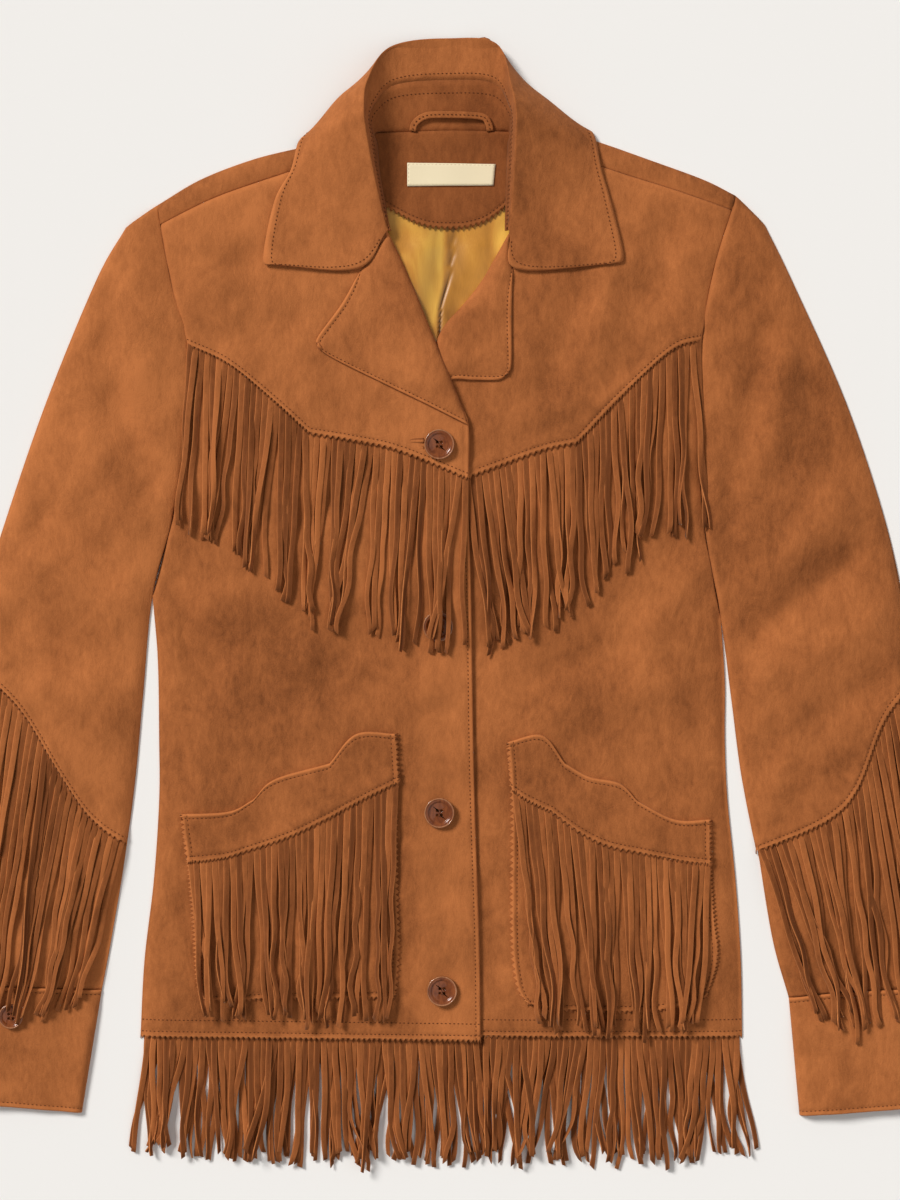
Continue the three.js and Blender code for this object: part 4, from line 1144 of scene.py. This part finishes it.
class JACKET_OT_yokes(bpy.types.Operator):
    """Lay the pinked yokes over their long fringes"""

    bl_idname = "jacket.yokes"
    bl_label = "Yokes"

    def execute(self, context):
        tips = {
            "right": [(-207, 56), (-168, 42), (-130, 10), (-106, -14), (-70, -22), (-30, -34), (8, -36)],
            "left": [(18, -38), (66, -22), (92, -8), (114, 12), (148, 46), (188, 56)],
        }
        for side, seed in (("left", 41), ("right", 42)):
            seam = SHOULDER_SEAM[side]
            if side == "right":
                top = [seam[:3], seam[2:]]
                left = [ARMHOLE[side][1]]
                right = [[(14, 90), *ROLL_LINE[side], *NECK_EDGE[side][1:]]]
                kinds = {"bottom": "pinked", "top": "seam", "left": "seam", "right": "stitched"}
            else:
                top = [seam[:2], seam[1:]]
                left = [[(-24, 80), (-28, 116), *ROLL_LINE[side], *NECK_EDGE[side][1:]]]
                right = [ARMHOLE[side][1]]
                kinds = {"bottom": "pinked", "top": "seam", "right": "seam"}
            yoke = Piece(YOKE_EDGE[side], top, left, right, kinds, step=1.5, side_step=3)
            yoke.lay(over(front_height(side), 1)).lift("bottom", 1.3).finish_edges()
            # Painted light: the right yoke, toward the key light, is set lighter than the left, on top of tone that
            # differs from hide to hide.
            piece = cloth(f"{side}_yoke", [yoke], "suede", f"yoke_{side}", 0.66 if side == "right" else 0.52)
            roots = shifted(joined(YOKE_EDGE[side]), 0, 5)
            if side == "left":  # the strap begins at the lapped edge
                roots = [(19, 98), *(point for point in roots if point[0] > 14)]
            pile = Pile(over(front_height(side), 0.1), (-235, -70), (225, 220))
            if side == "right":
                pile.rest_on("front_button_2")
            strands = fringe(f"{side}_yoke_fringe", f"yoke_fringe_{side}", roots, tips[side], pile, seed,
                             sway=5.5, rows=25, crimped=2.6)
            line = yoke.row("bottom", PINKED_ROW)
            sewn(f"{side}_yoke_stitches", [line if side == "right" else line[line[:, 0] > 20]])
        return {"FINISHED"}


class JACKET_OT_lapels(bpy.types.Operator):
    """Turn back the lapels"""

    bl_idname = "jacket.lapels"
    bl_label = "Lapels"

    def execute(self, context):
        right = Piece(
            [[(-98, 190), (-90, 182), (-48, 161), (-19, 147), (14, 130.5)]], [[(-68, 244), (-46, 274)]],
            [[(-98, 190), (-99, 196), (-81, 221), (-68, 244)]], [ROLL_LINE["right"]],
            {"bottom": "stitched", "left": "stitched", "right": "roll", "top": "seam"}, step=2.2)
        left = Piece(
            [[(-27, 152), (-1, 165), (17, 165), (36, 164.5), (43, 169)]], [[(44, 274), (47, 246)]],
            [ROLL_LINE["left"]], [[(43, 169), (46, 177), (46, 218), (47, 246)]],
            {"bottom": "stitched", "left": "roll", "right": "stitched", "top": "seam"}, step=2.2)
        for side, lapel in (("left", left), ("right", right)):
            lapel.lay(over(front_height(side), 2.7)).puff(1.3, 16).finish_edges()
            piece = cloth(f"{side}_lapel", [lapel], "suede", f"lapel_{side}", 0.6)
            free = "left" if side == "right" else "right"
            sewn(f"{side}_lapel_stitches", [lapel.row("bottom", STITCH_ROW), lapel.row(free, STITCH_ROW)])
        return {"FINISHED"}


COLLAR_SECTIONS = [  # neck, roll, middle of the fall, edge of the fall
    ((-44, 276, 6.6), (-46, 276, 12.5), (-69, 247, 9.6), (-133, 250, 8.7)),
    ((-46, 284, 6.6), (-48.5, 283, 14.5), (-94, 264, 11), (-139.5, 255, 8.7)),
    ((-52, 318, 6.6), (-57, 320, 23.5), (-96, 308, 15.5), (-131, 298, 8.7)),
    ((-54, 340, 6.2), (-62, 348, 29), (-95, 338, 18), (-119, 321, 8.7)),
    ((-56, 348, 5.6), (-63.5, 364, 31), (-91, 354, 17), (-113, 344, 4.4)),
    ((-50, 350, 5.2), (-61, 386, 26), (-83, 376, 6.5), (-102, 347, 0.6)),
    ((-36, 350, 4.9), (-44, 414, 9.5), (-54, 388, 0.6), (-62, 338, 0.6)),
    ((0, 350, 4.9), (0, 421.4, 3.6), (0, 384, 0.6), (0, 338, 0.6)),
    ((30, 350, 4.9), (35, 416, 8), (48, 386, 0.6), (58, 338, 0.6)),
    ((43, 350, 5.4), (45, 382, 25), (71, 376, 6.5), (99, 350, 0.6)),
    ((44, 346, 5.6), (48.5, 362, 31), (81, 354, 17), (108, 348, 4.4)),
    ((43, 340, 6.2), (48.5, 344, 29), (84, 336, 18), (113, 322, 8.7)),
    ((42, 316, 6.6), (47.5, 318, 23.5), (85, 307, 15.5), (120, 298, 8.7)),
    ((41, 284, 6.6), (45, 283, 14.5), (84, 264, 11), (129.5, 257, 8.7)),
    ((41, 276, 6.6), (44, 276, 12.5), (50, 247, 9.6), (122, 250.5, 8.7)),
]


STAND_ROWS, BEND_ROWS, FALL_ROWS = 15, 7, 30
FALL_START = STAND_ROWS + BEND_ROWS
STAND_END = 8  # the row of the grid where the stand's own piece ends
ROLL_REACH = 2.6  # how far the rounded roll runs down each side


def collar_column(neck, roll, middle, edge):
    """One section of the collar, up the stand, over its rounded roll and down its fall."""
    stand = smooth_line([neck, neck * 0.5 + roll * 0.5, roll])
    inwards, outwards = neck - roll, middle - roll
    inner = roll + inwards / np.linalg.norm(inwards) * ROLL_REACH
    outer = roll + outwards / np.linalg.norm(outwards) * ROLL_REACH
    crown = roll * 0.75 + (inner + outer) / 2 * 0.25
    bend = smooth_line([inner, crown, outer], 4)
    fall = smooth_line([outer, middle, edge])
    return np.vstack([
        at_shares(np.vstack([stand[:-6], inner]), np.linspace(0, 1, STAND_ROWS)), bend[1:-1],
        at_shares(fall, np.linspace(0, 1, FALL_ROWS))])


def collar_grid():
    """The collar's points, with its fall laid on the fronts, and their wear."""
    columns = np.stack([collar_column(*section) for section in np.array(COLLAR_SECTIONS, float)])
    grid = np.stack([smooth_line(columns[:, k], 12) for k in range(columns.shape[1])])
    surface = {side: over(front_height(side), 1.9) for side in SIDES}
    x, y, z = np.moveaxis(grid[FALL_START:], 2, 0)
    under = np.where(x < 0, surface["right"](x, y), surface["left"](x, y)) + 2.3
    on_front = (1 - ease(326, 346, y)) * ease(0, 8, np.arange(len(x)))[:, None]
    z[...] = np.where(on_front > 0, np.maximum(z, under * on_front + z * (1 - on_front)), z)
    rows, columns = np.arange(len(grid)), np.arange(grid.shape[1])
    across, down = columns / columns[-1], rows / rows[-1]
    soft = 0.9 * np.sin(across * 71) * bell(across, 0.5, 0.09) + 0.4 * np.sin(across * 47 + 1)
    grid[..., 2] += soft[None, :] * bell(down, 0.42, 0.16)[:, None] * bell(across, 0.5, 0.2)[None, :]
    grid[..., 2] += 0.35 * waves(grid[..., 0], grid[..., 1], 9) * ease(0.55, 0.7, down)[:, None]
    edge = np.minimum(rows[::-1][:, None] * 2.2, np.minimum(columns, columns[::-1])[None, :] * 2.6)
    rub = bell(edge, 0, 2.4) * (down > 0.5)[:, None]
    grid[..., 2] -= 0.7 * bell(edge, 0, 1.2) * (down > 0.6)[:, None]
    return grid, rub


class JACKET_OT_collar(bpy.types.Operator):
    """Stand the collar round the neck and let it fall"""

    bl_idname = "jacket.collar"
    bl_label = "Collar"

    def execute(self, context):
        grid, rub = collar_grid()
        parts = {
            # The stand's darker inner suede is painted shade.
            "collar_band": (grid[: STAND_END + 1], rub[: STAND_END + 1] * 0, "inner_suede", "collar_stand"),
            "collar_fall": (grid[STAND_END:], rub[STAND_END:], "suede", "collar"),
        }
        for name, (points, wear, finish, node) in parts.items():
            # Painted light: the collar is set lighter on its -X side, which faces the key light.
            tint = 0.62 - 0.14 * ease(-30, 40, points[..., 0])
            piece = sheet_of(name, [(points, wear, tint)], finish, node)
            along = np.linalg.norm(np.diff(points, axis=1), axis=2)
            deep = np.linalg.norm(np.diff(points, axis=0), axis=2)
        rows = [grid[-3], grid[STAND_END + 1], grid[STAND_END - 2],
                grid[FALL_START + 2:-2, 2], grid[FALL_START + 2:-2, -3]]
        sewn("collar_stitches", [row + (0, 0, 0.05) for row in rows])
        return {"FINISHED"}


class JACKET_OT_pockets(bpy.types.Operator):
    """Sew on the patch pockets with their fringed bands"""

    bl_idname = "jacket.pockets"
    bl_label = "Pockets"

    def execute(self, context):
        tips = {
            "right": [(-189, -303), (-158, -309), (-88, -314), (-42, -311)],
            "left": [(60, -308), (88, -318), (150, -321), (191, -315)],
        }
        kinds = {"bottom": "pinked", "left": "pinked", "right": "pinked", "top": "stitched"}
        for side, seed in (("right", 51), ("left", 52)):
            first, last = POCKET_SIDES[side]
            bag = Piece(POCKET_BOTTOM[side], POCKET_TOP[side], [first], [last], kinds, step=1.95)
            height = front_height(side)
            bag.lay(over(height, 1)).puff(0.8).finish_edges()
            pocket = cloth(f"{side}_pocket", [bag], "suede", f"pocket_{side}", 0.48)
            bands, top = BAND_EDGE[side], POCKET_TOP[side]
            band = Piece(bands, top, [[bands[0][0], top[0][0]]], [[bands[-1][-1], top[-1][-1]]], kinds, step=1.95)
            band.lay(over(height, 2.2)).lift("bottom", 1.6).finish_edges()
            strip = cloth(f"{side}_pocket_band", [band], "suede", f"pocket_band_{side}", 0.46)
            pile = Pile(over(height, 1.75), (-215, -335), (215, -90))
            strands = fringe(f"{side}_pocket_fringe", f"pocket_fringe_{side}", shifted(joined(bands), 0, 5),
                             tips[side], pile, seed, sway=4.5, rows=23, crimped=2.5)
            pinked = ("bottom", "left", "right")
            lines = [*(band.row(edge, PINKED_ROW) for edge in pinked), band.row("top", STITCH_ROW)]
            lines += [bag.row(edge, PINKED_ROW) for edge in pinked]
            sewn(f"{side}_pocket_stitches", lines)
        return {"FINISHED"}


TUCK = 12  # how far the lower sleeve goes up under the pointed edge
CLEAR = 8  # the least distance along a sleeve between two points of its edge


class JACKET_OT_sleeves(bpy.types.Operator):
    """Lay the sleeves with their pointed fringe and their cuffs"""

    bl_idname = "jacket.sleeves"
    bl_label = "Sleeves"

    def execute(self, context):
        for side, seed in (("right", 61), ("left", 62)):
            self.lay_sleeve(side, seed)
        return {"FINISHED"}

    def lay_sleeve(self, side, seed):
        outer, inner, point = SLEEVE_OUTER[side], SLEEVE_INNER[side], SLEEVE_POINT[side]
        armhole = joined(ARMHOLE[side])
        crown = [outer[-2], outer[-1]]
        under_point = shifted(point, 0, TUCK)
        high_outer = [point[0], *(p for p in outer[:-1] if p[1] > point[0][1] + CLEAR)]
        high_inner = [point[-1], *[p for p in inner if p[1] > point[-1][1] + CLEAR][:-1], *armhole]
        low_outer = [*(p for p in outer if p[1] < under_point[0][1] - CLEAR), under_point[0]]
        low_inner = [*(p for p in inner if p[1] < under_point[-1][1] - CLEAR), under_point[-1]]
        whole_inner = [*inner[:-1], *armhole]

        def quad(bottom, top, out, into, edges, step=2.6):
            """A sleeve stretch with its outward side put where it belongs in plan."""
            if side == "left":
                bottom, top, out, into = bottom[::-1], top[::-1], into, out
            return Piece([bottom], [top], [out], [into], edges, step=step, side_step=max(3.0, step))

        cuff_top, cuff_end = CUFF_TOP[side], CUFF_END[side]
        under = quad(cuff_top, crown, outer[:-1], whole_inner, {}, 6)
        under.lay(flat_height(0.05))
        under.face_down = True
        lower = quad(cuff_top, under_point, low_outer, low_inner, {"left": "seam", "right": "seam"})
        lower.lay(sleeve_height, -0.4).finish_edges()
        upper = quad(point, crown, high_outer, high_inner,
                     {"bottom": "pinked", "left": "seam", "right": "seam"}, 1.15)
        upper.lay(over(sleeve_height, 0.8)).lift("bottom", 1.4).finish_edges()
        # Painted light: the right sleeve, toward the key light, is set lighter than the left, on top of tone that
        # differs from hide to hide.
        tint = 0.68 if side == "right" else 0.46
        made = {
            name: cloth(f"{side}_{name}", [shape], "suede", f"{name}_{side}", tint)
            for name, shape in (("sleeve_back", under), ("sleeve_lower", lower), ("sleeve_upper", upper))}

        def cuff_height(x, y):
            return sleeve_height(x, np.maximum(y, -330)) + 1.3

        cuff_height = pulled_to_buttons(cuff_height, {f"cuff_button_{side}": 0}, 16)
        ends = ([cuff_end[0], cuff_top[0]], [cuff_end[-1], cuff_top[-1]])
        front = quad(cuff_end, cuff_top, ends[0], ends[1],
                     {"left": "fold", "right": "fold", "top": "stitched", "bottom": "stitched"})
        front.lay(cuff_height).finish_edges()
        back = quad(cuff_end, cuff_top, ends[0], ends[1], {}, 6)
        back.lay(flat_height(0.05))
        back.face_down = True
        cuff = cloth(f"{side}_cuff", [front, back], "suede", f"cuff_{side}", 0.6)

        def beneath(x, y):
            return np.where(y < cuff_top[1][1] + 6, np.maximum(cuff_height(x, y), sleeve_height(x, y)),
                            sleeve_height(x, y)) - 0.1

        tips = {
            "right": [(-388, -282), (-362, -294), (-318, -309), (-276, -306)],
            "left": [(387, -280), (362, -296), (318, -316), (274, -311)],
        }[side]
        pile = Pile(beneath, (-410, -340) if side == "right" else (190, -340),
                    (-190, -20) if side == "right" else (410, -20))
        pile.rest_on(f"cuff_button_{side}")
        strands = fringe(f"{side}_sleeve_fringe", f"sleeve_fringe_{side}", shifted(point, 0, 5), tips, pile, seed,
                         sway=5.5, rows=27, ragged=5.0, crimped=2.8)
        cuff_rows = [front.row(edge, STITCH_ROW) for edge in ("top", "bottom")]
        sewn(f"{side}_sleeve_stitches", [upper.row("bottom", PINKED_ROW), *cuff_rows])


BUTTON_DISH = 1.1  # how far the thread lies below the button's rim
HOLE_OFFSET = 2.3  # from the button's middle lines to its holes


class JACKET_OT_buttons(bpy.types.Operator):
    """Round the edges of the buttons and sew them on"""

    bl_idname = "jacket.buttons"
    bl_label = "Buttons"

    def execute(self, context):
        for node in [*FRONT_BUTTONS, "cuff_button_right", "cuff_button_left"]:
            self.round_button(node)
            x, y, _ = button_seat(node)
            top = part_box(node)[1][2] / MM - BUTTON_DISH
            bars = [np.array([(x - HOLE_OFFSET, y + o, top), (x + HOLE_OFFSET, y + o, top)])
                    for o in (-HOLE_OFFSET, HOLE_OFFSET)]
            stitches(f"{node}_thread", bars, 4.4, 0.1, 0.32)
            self.add_highlight_rim(node)
        return {"FINISHED"}

    def round_button(self, node):
        """A copy of the button with its sharp edges rounded."""
        bm = bmesh.new()
        bm.from_mesh(bpy.data.objects[node].data)
        bmesh.ops.remove_doubles(bm, verts=bm.verts, dist=0.00001)
        bmesh.ops.dissolve_limit(bm, angle_limit=math.radians(1), verts=bm.verts, edges=bm.edges)
        sharp = [e for e in bm.edges if len(e.link_faces) == 2 and e.calc_face_angle(0) > math.radians(40)]
        bmesh.ops.bevel(bm, geom=sharp, offset=0.22 * MM, segments=2, profile=0.5, affect="EDGES", material=-1)
        stands_for(add_object(f"{node}_round", make_mesh(f"{node}_round", bm), ["button"]), node)

    def add_highlight_rim(self, node):
        """A ring spun round the button's edge, in a lighter finish: a painted highlight along the rim."""
        x, y, _ = button_seat(node)
        low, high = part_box(node)
        radius = (high[0] - low[0]) / 2 / MM
        bm = bmesh.new()
        bmesh.ops.create_circle(bm, segments=8, radius=0.6 * MM, matrix=Matrix.Rotation(math.pi / 2, 4, "X"))
        bmesh.ops.translate(bm, verts=bm.verts, vec=((radius - 0.75) * MM, 0, 0))
        bmesh.ops.spin(bm, geom=bm.edges[:], cent=(0, 0, 0), axis=(0, 0, 1), angle=math.tau, steps=48,
                       use_merge=True)
        bmesh.ops.translate(bm, verts=bm.verts, vec=(x * MM, y * MM, high[2] - 0.25 * MM))
        bmesh.ops.recalc_face_normals(bm, faces=bm.faces)
        ride(add_object(f"{node}_rim", make_mesh(f"{node}_rim", bm), ["button_painted_highlight_rim"]))


FLOOR_REACH = 3.0
CAMERA_HEIGHT = 2.0
WARM_WHITE = (1.0, 0.985, 0.965)


class JACKET_OT_stage(bpy.types.Operator):
    """Set the pale floor, the soft lights and the camera above"""

    bl_idname = "jacket.stage"
    bl_label = "Stage"

    def execute(self, context):
        scene = context.scene
        bm = bmesh.new()
        bmesh.ops.create_grid(bm, x_segments=1, y_segments=1, size=FLOOR_REACH)
        floor = bpy.data.objects.new("floor", make_mesh("floor", bm))
        scene.collection.objects.link(floor)
        paper = Finish("pale_paper")
        paper.set(Base_Color=linear(238, 236, 233), Roughness=0.95, Specular_IOR_Level=0.05)
        floor.data.materials.append(paper.material)
        power = scene.jacket_look.key_power
        self.add_light("key", (-1.5, 1.25, 1.55), power, 19, WARM_WHITE)
        self.add_light("fill", (1.4, -0.8, 2.2), 0.16 * power, 70, (0.97, 0.98, 1.0))
        world = bpy.data.worlds.new("soft_room")
        world.use_nodes = True
        background = world.node_tree.nodes["Background"]
        background.inputs["Color"].default_value = (*WARM_WHITE, 1.0)
        background.inputs["Strength"].default_value = 0.27
        scene.world = world
        scene.view_settings.view_transform = "Standard"
        data = bpy.data.cameras.new("overhead")
        data.lens, data.sensor_width = 80, 36
        data.clip_end = 20
        camera = bpy.data.objects.new("overhead", data)
        camera.location = (0, 0, CAMERA_HEIGHT)
        scene.collection.objects.link(camera)
        scene.camera = camera
        return {"FINISHED"}

    def add_light(self, name, place, power, spread, colour):
        data = bpy.data.lights.new(name, "SUN")
        data.energy, data.angle, data.color = power, math.radians(spread), colour
        light = bpy.data.objects.new(name, data)
        light.location = place
        light.rotation_euler = (-Vector(place)).to_track_quat("-Z", "Y").to_euler()
        bpy.context.scene.collection.objects.link(light)


class JACKET_PT_panel(bpy.types.Panel):
    """Lists the steps that build the jacket"""

    bl_idname = "JACKET_PT_panel"
    bl_label = "Jacket"
    bl_space_type = "VIEW_3D"
    bl_region_type = "UI"
    bl_category = "Jacket"

    def draw(self, context):
        look = context.scene.jacket_look
        for key in ("suede_colour", "lining_colour", "strand_pitch", "stitch_length", "key_power"):
            self.layout.prop(look, key)
        for step in STEPS:
            self.layout.operator(step.bl_idname)


STEPS = (
    JACKET_OT_finishes, JACKET_OT_back, JACKET_OT_lining, JACKET_OT_fronts, JACKET_OT_yokes, JACKET_OT_lapels,
    JACKET_OT_collar, JACKET_OT_pockets, JACKET_OT_sleeves, JACKET_OT_buttons, JACKET_OT_stage,
)


def register():
    for item in (JacketLook, *STEPS, JACKET_PT_panel):
        bpy.utils.register_class(item)
    bpy.types.Scene.jacket_look = bpy.props.PointerProperty(type=JacketLook)


def unregister():
    del bpy.types.Scene.jacket_look
    for item in (JACKET_PT_panel, *reversed(STEPS), JacketLook):
        bpy.utils.unregister_class(item)


def main():
    register()
    for step in STEPS:
        group, name = step.bl_idname.split(".")
        getattr(getattr(bpy.ops, group), name)()


if __name__ == "__main__":
    main()
